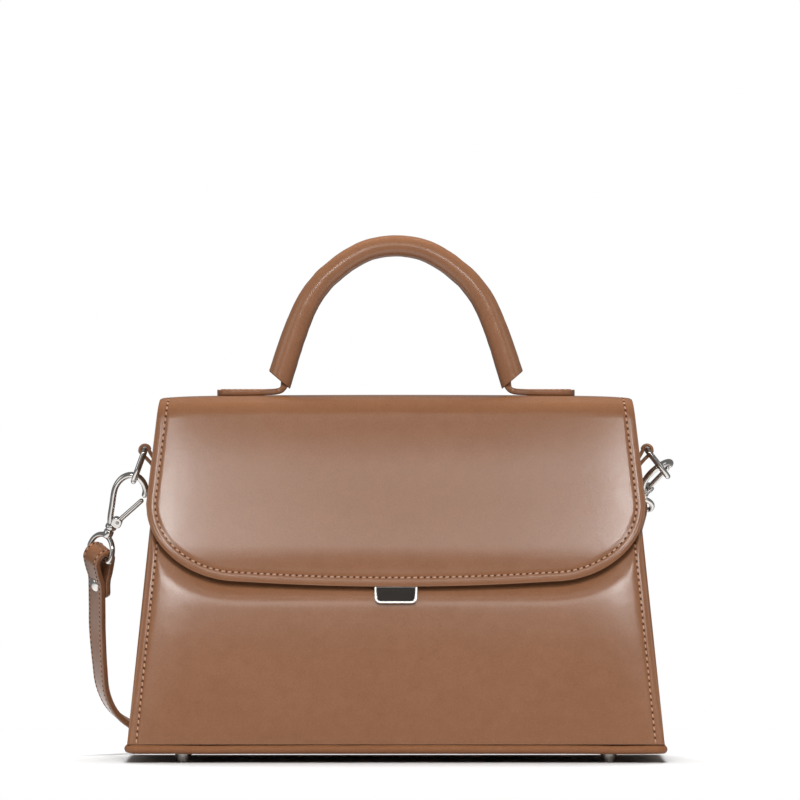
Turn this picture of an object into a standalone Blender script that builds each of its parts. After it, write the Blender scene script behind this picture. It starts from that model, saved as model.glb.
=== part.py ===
"""Structured leather handbag with a front flap, a top handle and a detachable strap.

Metres, +Z up. The origin is the centre of the base, on the surface that the feet stand on.
+X is to the right as the bag is faced, and -Y is its front.
"""

import math

import bmesh
import bpy
from mathutils import Matrix, Vector

# Clearances
GAP = 0.0003
PIN_CLEARANCE = 0.00025
OVERRUN = 0.004
MERGE = 0.00001

# Body
BASE_WIDTH = 0.280
BASE_DEPTH = 0.110
LIP_THICKNESS = 0.0045
LIP_CORNER = 0.006
LIP_ROUND = 0.0016
LIP_OVERHANG = 0.0015
MOUTH_WIDTH = 0.2436
MOUTH_DEPTH = 0.046
MOUTH_HEIGHT = 0.176
BAG_HEIGHT = 0.189
PANEL_THICKNESS = 0.0026
EDGE_ROUND = 0.0006
BOARD_THICKNESS = 0.002
GUSSET_THICKNESS = 0.002
GUSSET_INSET = 0.0015
GUSSET_DISH = 0.0025
GUSSET_RISE = 0.004
LINING_THICKNESS = 0.0008
LINING_GAP = 0.0012
LINING_DROP = 0.001

# Inner pocket
POCKET_WIDTH = 0.140
POCKET_LOW = 0.062
POCKET_HIGH = 0.142
POCKET_THICKNESS = 0.0009

# Feet
FOOT_HEIGHT = 0.0045
FOOT_MARGIN_X = 0.030
FOOT_MARGIN_Y = 0.013
FOOT_TOP_RADIUS = 0.0039
FOOT_TIP_RADIUS = 0.0026
FOOT_TIP_ROUND = 0.0006
STUD_RADIUS = 0.0013

# Flap and its fold lines
FLAP_THICKNESS = 0.0024
FLAP_LINING_THICKNESS = 0.0008
FLAP_LINING_MARGIN = 0.003
FLAP_STANDOFF = 0.0012
FLAP_TOP_WIDTH = 0.2442
FLAP_ROLL_WIDTH = 0.2482
FLAP_WIDTH = 0.2584
FLAP_RUN = 0.0885
FLAP_CORNER_WIDTH = 0.0487
FLAP_CORNER_HEIGHT = 0.041
FLAP_BOW = 0.0027
ROLL_RADIUS = 0.014
ANCHOR_RUN = 0.026
TOP_BOARD_MARGIN_X = 0.005
TOP_BOARD_MARGIN_Y = 0.0025
FOLD_SLIT = 0.0003
FLAP_TOP_ROUND = 0.0003

# Closure
LOCK_WIDTH = 0.022
LOCK_LENGTH = 0.0084
LOCK_DEPTH = 0.0036
LOCK_CORNER = 0.0032
LOCK_RIM = 0.0016
LOCK_SINK = 0.0006
LOCK_BEVEL = 0.0005
MAGNET_RADIUS = 0.0075
MAGNET_THICKNESS = 0.0012
MAGNET_RISE = 0.012
BACKPLATE_WIDTH = 0.030
BACKPLATE_HEIGHT = 0.024
BACKPLATE_THICKNESS = 0.0006
STRIKER_THICKNESS = 0.0008

# Handle
HANDLE_HALF_SPAN = 0.0607
HANDLE_RISE = 0.0783
HANDLE_END_RISE = 0.0082
GRIP_TOP_RADIUS = 0.0056
GRIP_END_RADIUS = 0.0067
GRIP_BORE_RADIUS = 0.0035
GRIP_STEP = 0.009
TILT_RISE = 0.0078
NECK_RADIUS = 0.0028
NECK_THICKNESS = 0.003
HANDLE_TAB_LENGTH = 0.0339
HANDLE_TAB_WIDTH = 0.020
HANDLE_TAB_THICKNESS = 0.0032
HANDLE_TAB_CORNER = 0.0085
HANDLE_TAB_ROUND = 0.0009
TAB_PLATE_LENGTH = 0.022
TAB_PLATE_WIDTH = 0.014
TAB_PLATE_THICKNESS = 0.0006

# Ring tabs on the gussets
RING_X = 0.1308
RING_Z = 0.161
RING_TAB_WIDTH = 0.012
RING_TAB_THICKNESS = 0.0016
RING_TAB_DROP = 0.031
RING_TAB_RISE = 0.010
TAB_RIVET_DROP = 0.0255

# Rings
WIRE_RADIUS = 0.0014
RING_HALF_WIDTH = 0.0085
RING_DEPTH = 0.0175
RING_CORNER = 0.002

# Hooks, in their own frame: across, and up from the collar
HOOK_WIRE_RADIUS = 0.00155
HOOK_REACH = 0.031
HOOK_CROWN_X = 0.0015
COLLAR_RADIUS = 0.00285
COLLAR_LOW = -0.0012
COLLAR_HIGH = 0.0014
LUG_X = 0.0022
LUG_Z = 0.0040
LUG_RADIUS = 0.0026
LUG_THICKNESS = 0.0044
GATE_RADIUS = 0.0012
GATE_EYE_RADIUS = 0.0022
GATE_EYE_THICKNESS = 0.0018
GATE_TIP_X = 0.0095
GATE_TIP_Z = 0.0200
GATE_PIN_RADIUS = 0.0008
PIN_PROUD = 0.0003
KNOB_RADIUS = 0.0026
KNOB_LENGTH = 0.005
KNOB_ROUND = 0.0009
EYE_HALF_WIDTH = 0.0089
EYE_TOP = -0.0055
EYE_BAR = -0.0165
EYE_CORNER = 0.0016

# Strap
STRAP_WIDTH = 0.012
STRAP_THICKNESS = 0.003
STRAP_END_LENGTH = 0.036
STRAP_TAIL_LENGTH = 0.027
STRAP_PINCH = 0.0145
STRAP_LOOP_RADIUS = 0.0046
STRAP_STEP = 0.014
STRAP_LEAD = 0.012

# Rivets
STRAP_RIVET_DROP = 0.018
STRAP_RIVET_RADIUS = 0.0034
STRAP_RIVET_DOME = 0.0014
TAB_RIVET_RADIUS = 0.0028
TAB_RIVET_DOME = 0.0012
RIVET_SHANK_RADIUS = 0.001
RIVET_TAIL_RADIUS = 0.0022
RIVET_TAIL_THICKNESS = 0.0006

# How each side's hardware hangs: the ring's tilt outwards, where on the ring the hook sits, the
# hook's upward direction, the strap bar's direction and the way that the strap leaves it
HANG = {
    "left": {
        "side": -1,
        "tilt": math.radians(20),
        "clip": math.radians(8),
        "hook_up": Vector((0.385, -0.27, 0.885)),
        "bar": Vector((0.62, -0.66, -0.42)),
        "strap_down": Vector((0.12, 0.42, -0.90)),
    },
    "right": {
        "side": 1,
        "tilt": math.radians(38),
        "clip": math.radians(72),
        "hook_up": Vector((0.265, -0.85, 0.48)),
        "bar": Vector((0.951, 0.268, -0.150)),
        "strap_down": Vector((0.02, 0.35, -0.94)),
    },
}

# The strap's route behind the bag, a point and the way that its width lies in each row
STRAP_ROUTE = (
    ((-0.1560, 0.0480, 0.0480), (0.53, -0.76, -0.37)),
    ((-0.1543, 0.0565, 0.0335), (0.47, -0.82, -0.33)),
    ((-0.1480, 0.0650, 0.0215), (0.38, -0.88, -0.28)),
    ((-0.1350, 0.0720, 0.0130), (0.22, -0.93, -0.30)),
    ((-0.1170, 0.0775, 0.0092), (0.08, -0.84, -0.54)),
    ((-0.0970, 0.0820, 0.0075), (0.02, -0.55, -0.83)),
    ((-0.0750, 0.0850, 0.0068), (0.0, -0.20, -0.98)),
    ((-0.0450, 0.0860, 0.0064), (0.0, 0.0, -1.0)),
    ((0.0, 0.0865, 0.0064), (0.0, 0.0, -1.0)),
    ((0.0400, 0.0885, 0.0064), (0.0, 0.0, -1.0)),
    ((0.0650, 0.0960, 0.0064), (0.0, 0.0, -1.0)),
    ((0.0785, 0.1150, 0.0064), (0.0, 0.0, -1.0)),
    ((0.0680, 0.1340, 0.0064), (0.0, 0.0, -1.0)),
    ((0.0430, 0.1400, 0.0064), (0.0, 0.0, -1.0)),
    ((0.0, 0.1370, 0.0064), (0.0, 0.0, -1.0)),
    ((-0.0430, 0.1365, 0.0064), (0.0, 0.0, -1.0)),
    ((-0.0690, 0.1440, 0.0064), (0.0, 0.0, -1.0)),
    ((-0.0800, 0.1630, 0.0064), (0.0, 0.0, -1.0)),
    ((-0.0690, 0.1820, 0.0064), (0.0, 0.0, -1.0)),
    ((-0.0430, 0.1880, 0.0064), (0.0, 0.0, -1.0)),
    ((0.0, 0.1860, 0.0064), (0.0, 0.0, -1.0)),
    ((0.0430, 0.1830, 0.0064), (0.0, 0.0, -1.0)),
    ((0.0800, 0.1730, 0.0064), (0.05, 0.02, -1.0)),
    ((0.1060, 0.1520, 0.0062), (0.45, 0.30, -0.83)),
    ((0.1200, 0.1250, 0.0044), (0.86, 0.28, -0.42)),
    ((0.1250, 0.1000, 0.0026), (0.99, 0.10, -0.08)),
    ((0.1255, 0.0810, 0.0090), (1.0, 0.05, 0.0)),
    ((0.1248, 0.0700, 0.0280), (0.99, 0.12, 0.0)),
    ((0.1240, 0.0640, 0.0510), (0.98, 0.18, -0.04)),
    ((0.1236, 0.0605, 0.0720), (0.96, 0.24, -0.10)),
)

# Shares that the shapes follow
HANDLE_ARCH_SHARES = (
    (0.0, 1.0),
    (0.22, 0.976),
    (0.405, 0.906),
    (0.54, 0.826),
    (0.633, 0.759),
    (0.761, 0.618),
    (0.88, 0.396),
    (1.0, 0.107),
)
HOOK_WIRE_SHARES = (
    (0.0, 0.0),
    (-0.065, 0.13),
    (-0.125, 0.36),
    (-0.190, 0.64),
    (-0.165, 0.83),
    (-0.070, 0.955),
    (0.060, 1.0),
    (0.190, 0.955),
    (0.290, 0.845),
    (0.318, 0.700),
)
FLAP_STRAIGHT_SHARES = (0.0, 0.35, 0.7, 1.0)
FLAP_BOW_SHARES = (0.65, 0.30)
ANCHOR_SHARES = (0.5, 1.0)
CORNER_BEND_SHARE = 0.293
EMPTY_SIZE_SHARE = 0.25

# Angles
SHARP_ANGLE = math.radians(35)
LOOP_START = math.radians(195)
LOOP_SWEEP = math.radians(235)
QUARTER_TURN = math.pi / 2
HALF_TURN = math.pi

# Smoothness
DOME_STEPS = 4
LIP_SEGMENTS = 3
CURVE_STEPS = 12
ROLL_STEPS = 7
CORNER_STEPS = 6
RING_STEPS = 10
LOOP_STEPS = 8
GUSSET_STEPS_ACROSS = 6
GUSSET_STEPS_UP = 8
ROUND_SIDES = 24
SMALL_SIDES = 16
CORNER_SEGMENTS = 4

# Colours, roughness and metal of each material
MATERIALS = {
    "brown_leather": ((0.270, 0.118, 0.060), 0.42, 0.0),
    "lining_cloth": ((0.300, 0.190, 0.110), 0.85, 0.0),
    "board": ((0.210, 0.150, 0.100), 0.90, 0.0),
    "core_rope": ((0.550, 0.470, 0.350), 0.90, 0.0),
    "nickel": ((0.560, 0.540, 0.510), 0.18, 1.0),
    "steel": ((0.450, 0.450, 0.460), 0.35, 1.0),
}

# Heights and lines that follow from the sizes
LIP_LOW = FOOT_HEIGHT + GAP
LIP_HIGH = LIP_LOW + LIP_THICKNESS
PANEL_LOW = LIP_HIGH + GAP
BOARD_HIGH = PANEL_LOW + BOARD_THICKNESS
LINING_LOW = BOARD_HIGH + GAP
PANEL_HALF_WIDTH = BASE_WIDTH / 2 - LIP_OVERHANG
PANEL_HALF_DEPTH = BASE_DEPTH / 2 - LIP_OVERHANG
LEAN = math.atan2(PANEL_HALF_DEPTH - MOUTH_DEPTH / 2, MOUTH_HEIGHT - PANEL_LOW)
FLAP_BUILD = FLAP_STANDOFF + FLAP_LINING_THICKNESS + GAP + FLAP_THICKNESS
ROLL_HEIGHT = BAG_HEIGHT - ROLL_RADIUS
PANEL_OFFSET = math.cos(LEAN) * PANEL_HALF_DEPTH + math.sin(LEAN) * PANEL_LOW
ROLL_OFFSET = PANEL_OFFSET + FLAP_BUILD - ROLL_RADIUS
FOLD_Y = (ROLL_OFFSET - math.sin(LEAN) * ROLL_HEIGHT) / math.cos(LEAN)
TOP_BOARD_HIGH = BAG_HEIGHT - FLAP_THICKNESS - GAP
TOP_BOARD_LOW = TOP_BOARD_HIGH - BOARD_THICKNESS
TAB_LOW = BAG_HEIGHT + GAP
TILT_Z = BAG_HEIGHT + TILT_RISE
HOOK_GRIP_Z = HOOK_REACH - HOOK_WIRE_RADIUS - WIRE_RADIUS - GAP


def half_width(height):
    """Half the width across the front panel's outer face at a height."""
    share = (height - PANEL_LOW) / (MOUTH_HEIGHT - PANEL_LOW)
    return PANEL_HALF_WIDTH + (MOUTH_WIDTH / 2 - PANEL_HALF_WIDTH) * share


def half_depth(height):
    """Half the depth over the two panels at a height."""
    share = (height - PANEL_LOW) / (MOUTH_HEIGHT - PANEL_LOW)
    return PANEL_HALF_DEPTH + (MOUTH_DEPTH / 2 - PANEL_HALF_DEPTH) * share


def gusset_half_width(height):
    return half_width(height) - GUSSET_INSET


# Scene, collections and materials


def clear_scene():
    for obj in list(bpy.data.objects):
        bpy.data.objects.remove(obj, do_unlink=True)


def new_collection(name, hidden=False):
    collection = bpy.data.collections.new(name)
    bpy.context.scene.collection.children.link(collection)
    collection.hide_render = hidden
    return collection


def make_materials():
    made = {}
    for name, (colour, roughness, metallic) in MATERIALS.items():
        material = bpy.data.materials.new(name)
        material.use_nodes = True
        shader = material.node_tree.nodes["Principled BSDF"]
        shader.inputs["Base Color"].default_value = (*colour, 1.0)
        shader.inputs["Roughness"].default_value = roughness
        shader.inputs["Metallic"].default_value = metallic
        material.diffuse_color = (*colour, 1.0)
        made[name] = material
    return made


clear_scene()
PARTS = new_collection("handbag")
CUTTERS = new_collection("cutters", hidden=True)
FINISH = make_materials()


# Objects from meshes and curves


def add_object(name, data, material, matrix=Matrix.Identity(4), axis=None):
    """Links an object at a matrix, or under an empty on its joint's axis."""
    obj = bpy.data.objects.new(name, data)
    data.materials.append(FINISH[material])
    PARTS.objects.link(obj)
    obj.matrix_world = matrix
    if axis:
        obj.parent = axis
        obj.matrix_parent_inverse = axis.matrix_world.inverted()
    return obj


def mesh_of(bm, name):
    mesh = bpy.data.meshes.new(name)
    bm.to_mesh(mesh)
    bm.free()
    mesh.shade_smooth()
    mesh.set_sharp_from_angle(angle=SHARP_ANGLE)
    return mesh


def axis_empty(name, matrix, parent=None):
    """An empty on a joint's axis, which carries what moves with it."""
    empty = bpy.data.objects.new(name, None)
    empty.empty_display_size = BASE_DEPTH * EMPTY_SIZE_SHARE
    PARTS.objects.link(empty)
    empty.matrix_world = matrix
    if parent:
        empty.parent = parent
        empty.matrix_parent_inverse = parent.matrix_world.inverted()
    bpy.context.view_layer.update()
    return empty


def as_mesh(curve_object):
    """The mesh of a curve, its caps welded, with the curve removed."""
    graph = bpy.context.evaluated_depsgraph_get()
    mesh = bpy.data.meshes.new_from_object(curve_object.evaluated_get(graph))
    bm = bmesh.new()
    bm.from_mesh(mesh)
    bmesh.ops.remove_doubles(bm, verts=bm.verts, dist=MERGE)
    bmesh.ops.recalc_face_normals(bm, faces=bm.faces)
    bm.to_mesh(mesh)
    bm.free()
    mesh.materials.clear()
    bpy.data.objects.remove(curve_object, do_unlink=True)
    return mesh


def wire_mesh(points, radius, cyclic=False, sides=2, scales=None):
    """A round wire through the points as a mesh, its radius scaled at each point if asked."""
    curve = bpy.data.curves.new("wire", "CURVE")
    curve.dimensions = "3D"
    curve.bevel_depth = radius
    curve.bevel_resolution = sides
    curve.use_fill_caps = not cyclic
    spline = curve.splines.new("POLY")
    spline.points.add(len(points) - 1)
    spline.use_cyclic_u = cyclic
    for index, point in enumerate(points):
        spline.points[index].co = (*point, 1)
        spline.points[index].radius = scales[index] if scales else 1
    guide = bpy.data.objects.new("wire", curve)
    bpy.context.scene.collection.objects.link(guide)
    bpy.context.view_layer.update()
    return as_mesh(guide)


def hide_as_cutter(obj):
    obj.hide_render = True
    obj.display_type = "WIRE"
    return obj


def cutter_object(name, data, matrix=Matrix.Identity(4)):
    obj = bpy.data.objects.new(name, data)
    CUTTERS.objects.link(obj)
    obj.matrix_world = matrix
    bpy.context.view_layer.update()
    return hide_as_cutter(obj)


def boolean(obj, other, operation="DIFFERENCE"):
    modifier = obj.modifiers.new(operation.lower(), "BOOLEAN")
    modifier.operation = operation
    modifier.solver = "EXACT"
    modifier.object = other


def bevel(obj, width, segments=2):
    modifier = obj.modifiers.new("bevel", "BEVEL")
    modifier.width = width
    modifier.segments = segments
    modifier.limit_method = "ANGLE"
    modifier.angle_limit = SHARP_ANGLE


def solidify(obj, thickness, offset):
    modifier = obj.modifiers.new("solidify", "SOLIDIFY")
    modifier.thickness = thickness
    modifier.offset = offset
    modifier.use_even_offset = True


def screw(obj, steps=ROUND_SIDES):
    """Turns a profile round the object's Z axis."""
    modifier = obj.modifiers.new("turned", "SCREW")
    modifier.steps = steps
    modifier.render_steps = steps
    modifier.use_merge_vertices = True
    modifier.merge_threshold = MERGE


# Basic shapes


def tapered_box_mesh(name, foot, head, open_top=False):
    """foot and head are (left, right, front, back, height) of the lower and the upper face."""
    bm = bmesh.new()
    bmesh.ops.create_cube(bm, size=1)
    if open_top:
        top = max(bm.faces, key=lambda face: face.normal.z)
        bmesh.ops.delete(bm, geom=[top], context="FACES")
    for vert in bm.verts:
        left, right, front, back, height = head if vert.co.z > 0 else foot
        vert.co = (right if vert.co.x > 0 else left, back if vert.co.y > 0 else front, height)
    return mesh_of(bm, name)


ALL_CORNERS = ("left", "right", "low", "high")


def slab_mesh(name, width, height, thickness, corner=0.0, corners=ALL_CORNERS):
    """A plate lying in its own XY plane, centred, whose named corners are rounded."""
    bm = bmesh.new()
    bmesh.ops.create_cube(bm, size=1)
    bmesh.ops.scale(bm, vec=(width, height, thickness), verts=bm.verts)
    upright = []
    for edge in bm.edges:
        a, b = (vert.co for vert in edge.verts)
        if abs((a - b).z) < thickness / 2:
            continue
        across = "right" if a.x > 0 else "left"
        along = "high" if a.y > 0 else "low"
        if across in corners and along in corners:
            upright.append(edge)
    if corner:
        bmesh.ops.bevel(
            bm, geom=upright, offset=corner, segments=CORNER_SEGMENTS,
            profile=0.5, affect="EDGES", material=-1,
        )
    return mesh_of(bm, name)


def cylinder_mesh(name, radius, low, high, sides=SMALL_SIDES):
    """A round bar along its own Z axis."""
    bm = bmesh.new()
    bmesh.ops.create_cone(
        bm, cap_ends=True, segments=sides, radius1=radius, radius2=radius, depth=high - low
    )
    bmesh.ops.translate(bm, vec=(0, 0, (low + high) / 2), verts=bm.verts)
    return mesh_of(bm, name)


def profile_mesh(name, points):
    """A line of (radius, height) points to be turned round the Z axis, from top to bottom."""
    bm = bmesh.new()
    verts = [bm.verts.new((radius, 0, height)) for radius, height in points]
    for first, second in zip(verts, verts[1:]):
        bm.edges.new((first, second))
    return mesh_of(bm, name)


def strip_mesh(name, rows, up=None):
    """A band whose rows each give its two edge points, facing the way that up points."""
    bm = bmesh.new()
    first = [bm.verts.new(point) for point in rows[0]]
    edge = bm.edges.new(first)
    for row in rows[1:]:
        made = bmesh.ops.extrude_edge_only(bm, edges=[edge])["geom"]
        edge = next(item for item in made if isinstance(item, bmesh.types.BMEdge))
        ends = sorted(edge.verts, key=lambda vert: (vert.co - Vector(row[0])).length)
        ends[0].co = row[0]
        ends[1].co = row[1]
    bm.normal_update()
    bm.faces.ensure_lookup_table()
    if up and bm.faces[0].normal.dot(Vector(up)) < 0:
        bmesh.ops.reverse_faces(bm, faces=bm.faces)
    return mesh_of(bm, name)


def mix(first, second, share):
    return first + (second - first) * share


def smooth_rows(rows, spacing):
    """Rows of numbers about spacing apart on a smooth curve through the given rows."""
    rows = [Vector(row) for row in rows]
    rows = [rows[0] * 2 - rows[1], *rows, rows[-1] * 2 - rows[-2]]
    fine = []
    for a, b, c, d in zip(rows, rows[1:], rows[2:], rows[3:]):
        for step in range(CURVE_STEPS):
            t = step / CURVE_STEPS
            bend = (a * 2 - b * 5 + c * 4 - d) * t ** 2 + (b * 3 - a - c * 3 + d) * t ** 3
            fine.append((b * 2 + (c - a) * t + bend) / 2)
    fine.append(rows[-2])
    lengths = [0.0]
    for a, b in zip(fine, fine[1:]):
        lengths.append(lengths[-1] + (Vector(b[:3]) - Vector(a[:3])).length)
    count = max(2, round(lengths[-1] / spacing))
    picked = []
    index = 0
    for step in range(count + 1):
        goal = lengths[-1] * step / count
        while index < len(fine) - 2 and lengths[index + 1] < goal:
            index += 1
        share = (goal - lengths[index]) / (lengths[index + 1] - lengths[index])
        picked.append(fine[index].lerp(fine[index + 1], min(share, 1)))
    return picked


def frame_at(origin, x_axis, z_axis):
    """A matrix with Z along z_axis and X as near x_axis as square corners allow."""
    z = Vector(z_axis).normalized()
    x = Vector(x_axis)
    x = (x - z * x.dot(z)).normalized()
    rotation = Matrix((x, z.cross(x), z)).transposed()
    return Matrix.Translation(origin) @ rotation.to_4x4()


def panel_frame(height, side, out=0.0):
    """On a panel's outer face: X to the right, Y up the slope and Z out of it."""
    normal = Vector((0, side * math.cos(LEAN), math.sin(LEAN)))
    origin = Vector((0, side * half_depth(height), height)) + normal * out
    up = Vector((0, -side * math.sin(LEAN), math.cos(LEAN)))
    return frame_at(origin, up.cross(normal), normal)


ALONG_X = Matrix.Rotation(QUARTER_TURN, 4, "Y")
ALONG_Y = Matrix.Rotation(-QUARTER_TURN, 4, "X")
FLIPPED = Matrix.Rotation(HALF_TURN, 4, "X")
HALF_STEP = Matrix.Rotation(HALF_TURN / ROUND_SIDES, 4, "Z")


# Base and feet


def foot_places():
    for across in (-1, 1):
        for along in (-1, 1):
            yield across * (BASE_WIDTH / 2 - FOOT_MARGIN_X), along * (BASE_DEPTH / 2 - FOOT_MARGIN_Y)


def make_base():
    height = (LIP_LOW + LIP_HIGH) / 2
    mesh = slab_mesh("base_panel", BASE_WIDTH, BASE_DEPTH, LIP_THICKNESS, LIP_CORNER)
    base = add_object("base_panel", mesh, "brown_leather", Matrix.Translation((0, 0, height)))
    bevel(base, LIP_ROUND, LIP_SEGMENTS)
    width = 2 * (gusset_half_width(BOARD_HIGH) - GUSSET_THICKNESS - GAP - EDGE_ROUND)
    depth = 2 * (half_depth(BOARD_HIGH) - PANEL_THICKNESS - GAP - EDGE_ROUND)
    mesh = slab_mesh("base_board", width, depth, BOARD_THICKNESS, LIP_CORNER)
    height = (PANEL_LOW + BOARD_HIGH) / 2
    board = add_object("base_board", mesh, "board", Matrix.Translation((0, 0, height)))
    for index, (x, y) in enumerate(foot_places()):
        radius = STUD_RADIUS + PIN_CLEARANCE
        hole = cylinder_mesh("foot_hole", radius, LIP_LOW - OVERRUN, BOARD_HIGH + OVERRUN)
        cutter = cutter_object(f"foot_hole_{index + 1}", hole, Matrix.Translation((x, y, 0)))
        boolean(base, cutter)
        boolean(board, cutter)
    profile = (
        (0, BOARD_HIGH),
        (STUD_RADIUS, BOARD_HIGH),
        (STUD_RADIUS, FOOT_HEIGHT),
        (FOOT_TOP_RADIUS, FOOT_HEIGHT),
        (FOOT_TIP_RADIUS, FOOT_TIP_ROUND),
        (FOOT_TIP_RADIUS - FOOT_TIP_ROUND, 0),
        (0, 0),
    )
    for index, (x, y) in enumerate(foot_places()):
        mesh = profile_mesh("foot", profile)
        foot = add_object(f"foot_{index + 1}", mesh, "nickel", Matrix.Translation((x, y, 0)))
        screw(foot, SMALL_SIDES)


# Panels, gussets and lining


def panel_edges(height, side, thickness):
    """Left, right, front, back and height of a panel's section."""
    outer = side * half_depth(height)
    inner = outer - side * thickness
    return (-half_width(height), half_width(height), min(outer, inner), max(outer, inner), height)


def make_panel(name, side):
    foot = panel_edges(PANEL_LOW, side, PANEL_THICKNESS)
    head = panel_edges(MOUTH_HEIGHT, side, PANEL_THICKNESS)
    panel = add_object(name, tapered_box_mesh(name, foot, head), "brown_leather")
    bevel(panel, EDGE_ROUND)
    return panel


def make_gusset(name, side):
    bm = bmesh.new()
    bmesh.ops.create_grid(
        bm, x_segments=GUSSET_STEPS_ACROSS, y_segments=GUSSET_STEPS_UP, size=1
    )
    high = MOUTH_HEIGHT + GUSSET_RISE
    for vert in bm.verts:
        share = (vert.co.y + 1) / 2
        height = mix(PANEL_LOW, high, share)
        dish = GUSSET_DISH * math.sin(math.pi * share) ** 2 * (1 - vert.co.x ** 2)
        edge = half_depth(height) - PANEL_THICKNESS - GAP
        vert.co = (side * (gusset_half_width(height) - dish), side * vert.co.x * edge, height)
    gusset = add_object(name, mesh_of(bm, name), "brown_leather")
    solidify(gusset, GUSSET_THICKNESS, -1)
    return gusset


def lining_half_width(height):
    return gusset_half_width(height) - GUSSET_THICKNESS - GUSSET_DISH - GAP


def lining_half_depth(height):
    return half_depth(height) - PANEL_THICKNESS - LINING_GAP


def make_lining():
    def edges(height):
        x = lining_half_width(height)
        y = lining_half_depth(height)
        return (-x, x, -y, y, height)

    top = MOUTH_HEIGHT - LINING_DROP
    mesh = tapered_box_mesh("lining", edges(LINING_LOW), edges(top), open_top=True)
    solidify(add_object("lining", mesh, "lining_cloth"), LINING_THICKNESS, -1)

    def pocket_edges(height):
        back = lining_half_depth(height) - (LINING_THICKNESS + GAP) / math.cos(LEAN)
        return (-POCKET_WIDTH / 2, POCKET_WIDTH / 2, back - POCKET_THICKNESS, back, height)

    foot = pocket_edges(POCKET_LOW)
    head = pocket_edges(POCKET_HIGH)
    mesh = tapered_box_mesh("inner_pocket", foot, head)
    add_object("inner_pocket", mesh, "lining_cloth")


# Flap


def flap_profile(sink, distance, side):
    """(y, z) on the flap's outer face, sunk by sink, this far below the end of the roll."""
    radius = ROLL_RADIUS - sink
    y = FOLD_Y + radius * math.cos(LEAN) + distance * math.sin(LEAN)
    z = ROLL_HEIGHT + radius * math.sin(LEAN) - distance * math.cos(LEAN)
    return side * y, z


def roll_rows(sink, inset, side):
    """Rows of the band that rolls from the top of the bag to the slope of its panel."""
    rows = []
    sweep = QUARTER_TURN - LEAN
    for step in range(ROLL_STEPS + 1):
        turn = sweep * step / ROLL_STEPS
        radius = ROLL_RADIUS - sink
        y = side * (FOLD_Y + FOLD_SLIT + radius * math.sin(turn))
        z = ROLL_HEIGHT + radius * math.cos(turn)
        half = mix(FLAP_TOP_WIDTH, FLAP_ROLL_WIDTH, step / ROLL_STEPS) / 2 - inset
        rows.append(((-half, y, z), (half, y, z)))
    return rows


def flap_outline():
    """(distance below the roll, half-width) down the flap to its bowed lower edge."""
    straight = FLAP_RUN - FLAP_CORNER_HEIGHT - FLAP_BOW
    flat_half = FLAP_WIDTH / 2 - FLAP_CORNER_WIDTH
    rows = []
    for share in FLAP_STRAIGHT_SHARES:
        rows.append((straight * share, mix(FLAP_ROLL_WIDTH, FLAP_WIDTH, share) / 2))
    for step in range(1, CORNER_STEPS + 1):
        turn = QUARTER_TURN * step / CORNER_STEPS
        down = straight + FLAP_CORNER_HEIGHT * math.sin(turn)
        rows.append((down, flat_half + FLAP_CORNER_WIDTH * math.cos(turn)))
    for share in FLAP_BOW_SHARES:
        rows.append((FLAP_RUN - FLAP_BOW * share ** 2, flat_half * share))
    return rows


def hanging_rows(sink, inset, side):
    rows = []
    for down, half in flap_outline()[1:]:
        y, z = flap_profile(sink, down * (1 - inset / FLAP_RUN), side)
        rows.append(((inset - half, y, z), (half - inset, y, z)))
    return rows


def make_flap(top_axis, fold_axis):
    width = FLAP_TOP_WIDTH
    depth = 2 * FOLD_Y
    height = BAG_HEIGHT - FLAP_THICKNESS / 2
    mesh = slab_mesh("flap_top", width, depth, FLAP_THICKNESS)
    place = Matrix.Translation((0, 0, height))
    top = add_object("flap_top", mesh, "brown_leather", place, top_axis)
    bevel(top, FLAP_TOP_ROUND)

    width = FLAP_TOP_WIDTH - 2 * TOP_BOARD_MARGIN_X
    depth = 2 * (FOLD_Y - TOP_BOARD_MARGIN_Y)
    height = (TOP_BOARD_LOW + TOP_BOARD_HIGH) / 2
    mesh = slab_mesh("top_board", width, depth, BOARD_THICKNESS)
    place = Matrix.Translation((0, 0, height))
    bevel(add_object("top_board", mesh, "board", place, top_axis), FLAP_TOP_ROUND)

    rows = roll_rows(0, 0, -1) + hanging_rows(0, 0, -1)
    mesh = strip_mesh("flap_front", rows, (0, 0, 1))
    flap = add_object("flap_front", mesh, "brown_leather", axis=fold_axis)
    solidify(flap, FLAP_THICKNESS, -1)

    sink = FLAP_THICKNESS + GAP
    inset = FLAP_LINING_MARGIN
    rows = roll_rows(sink, inset, -1) + hanging_rows(sink, inset, -1)
    mesh = strip_mesh("flap_lining", rows, (0, 0, 1))
    lining = add_object("flap_lining", mesh, "lining_cloth", axis=fold_axis)
    solidify(lining, FLAP_LINING_THICKNESS, -1)

    rows = roll_rows(0, 0, 1)
    for share in ANCHOR_SHARES:
        y, z = flap_profile(0, ANCHOR_RUN * share, 1)
        rows.append(((-FLAP_ROLL_WIDTH / 2, y, z), (FLAP_ROLL_WIDTH / 2, y, z)))
    mesh = strip_mesh("flap_anchor", rows, (0, 0, 1))
    solidify(add_object("flap_anchor", mesh, "brown_leather"), FLAP_BUILD - GAP, -1)
    return flap


# Closure


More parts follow.
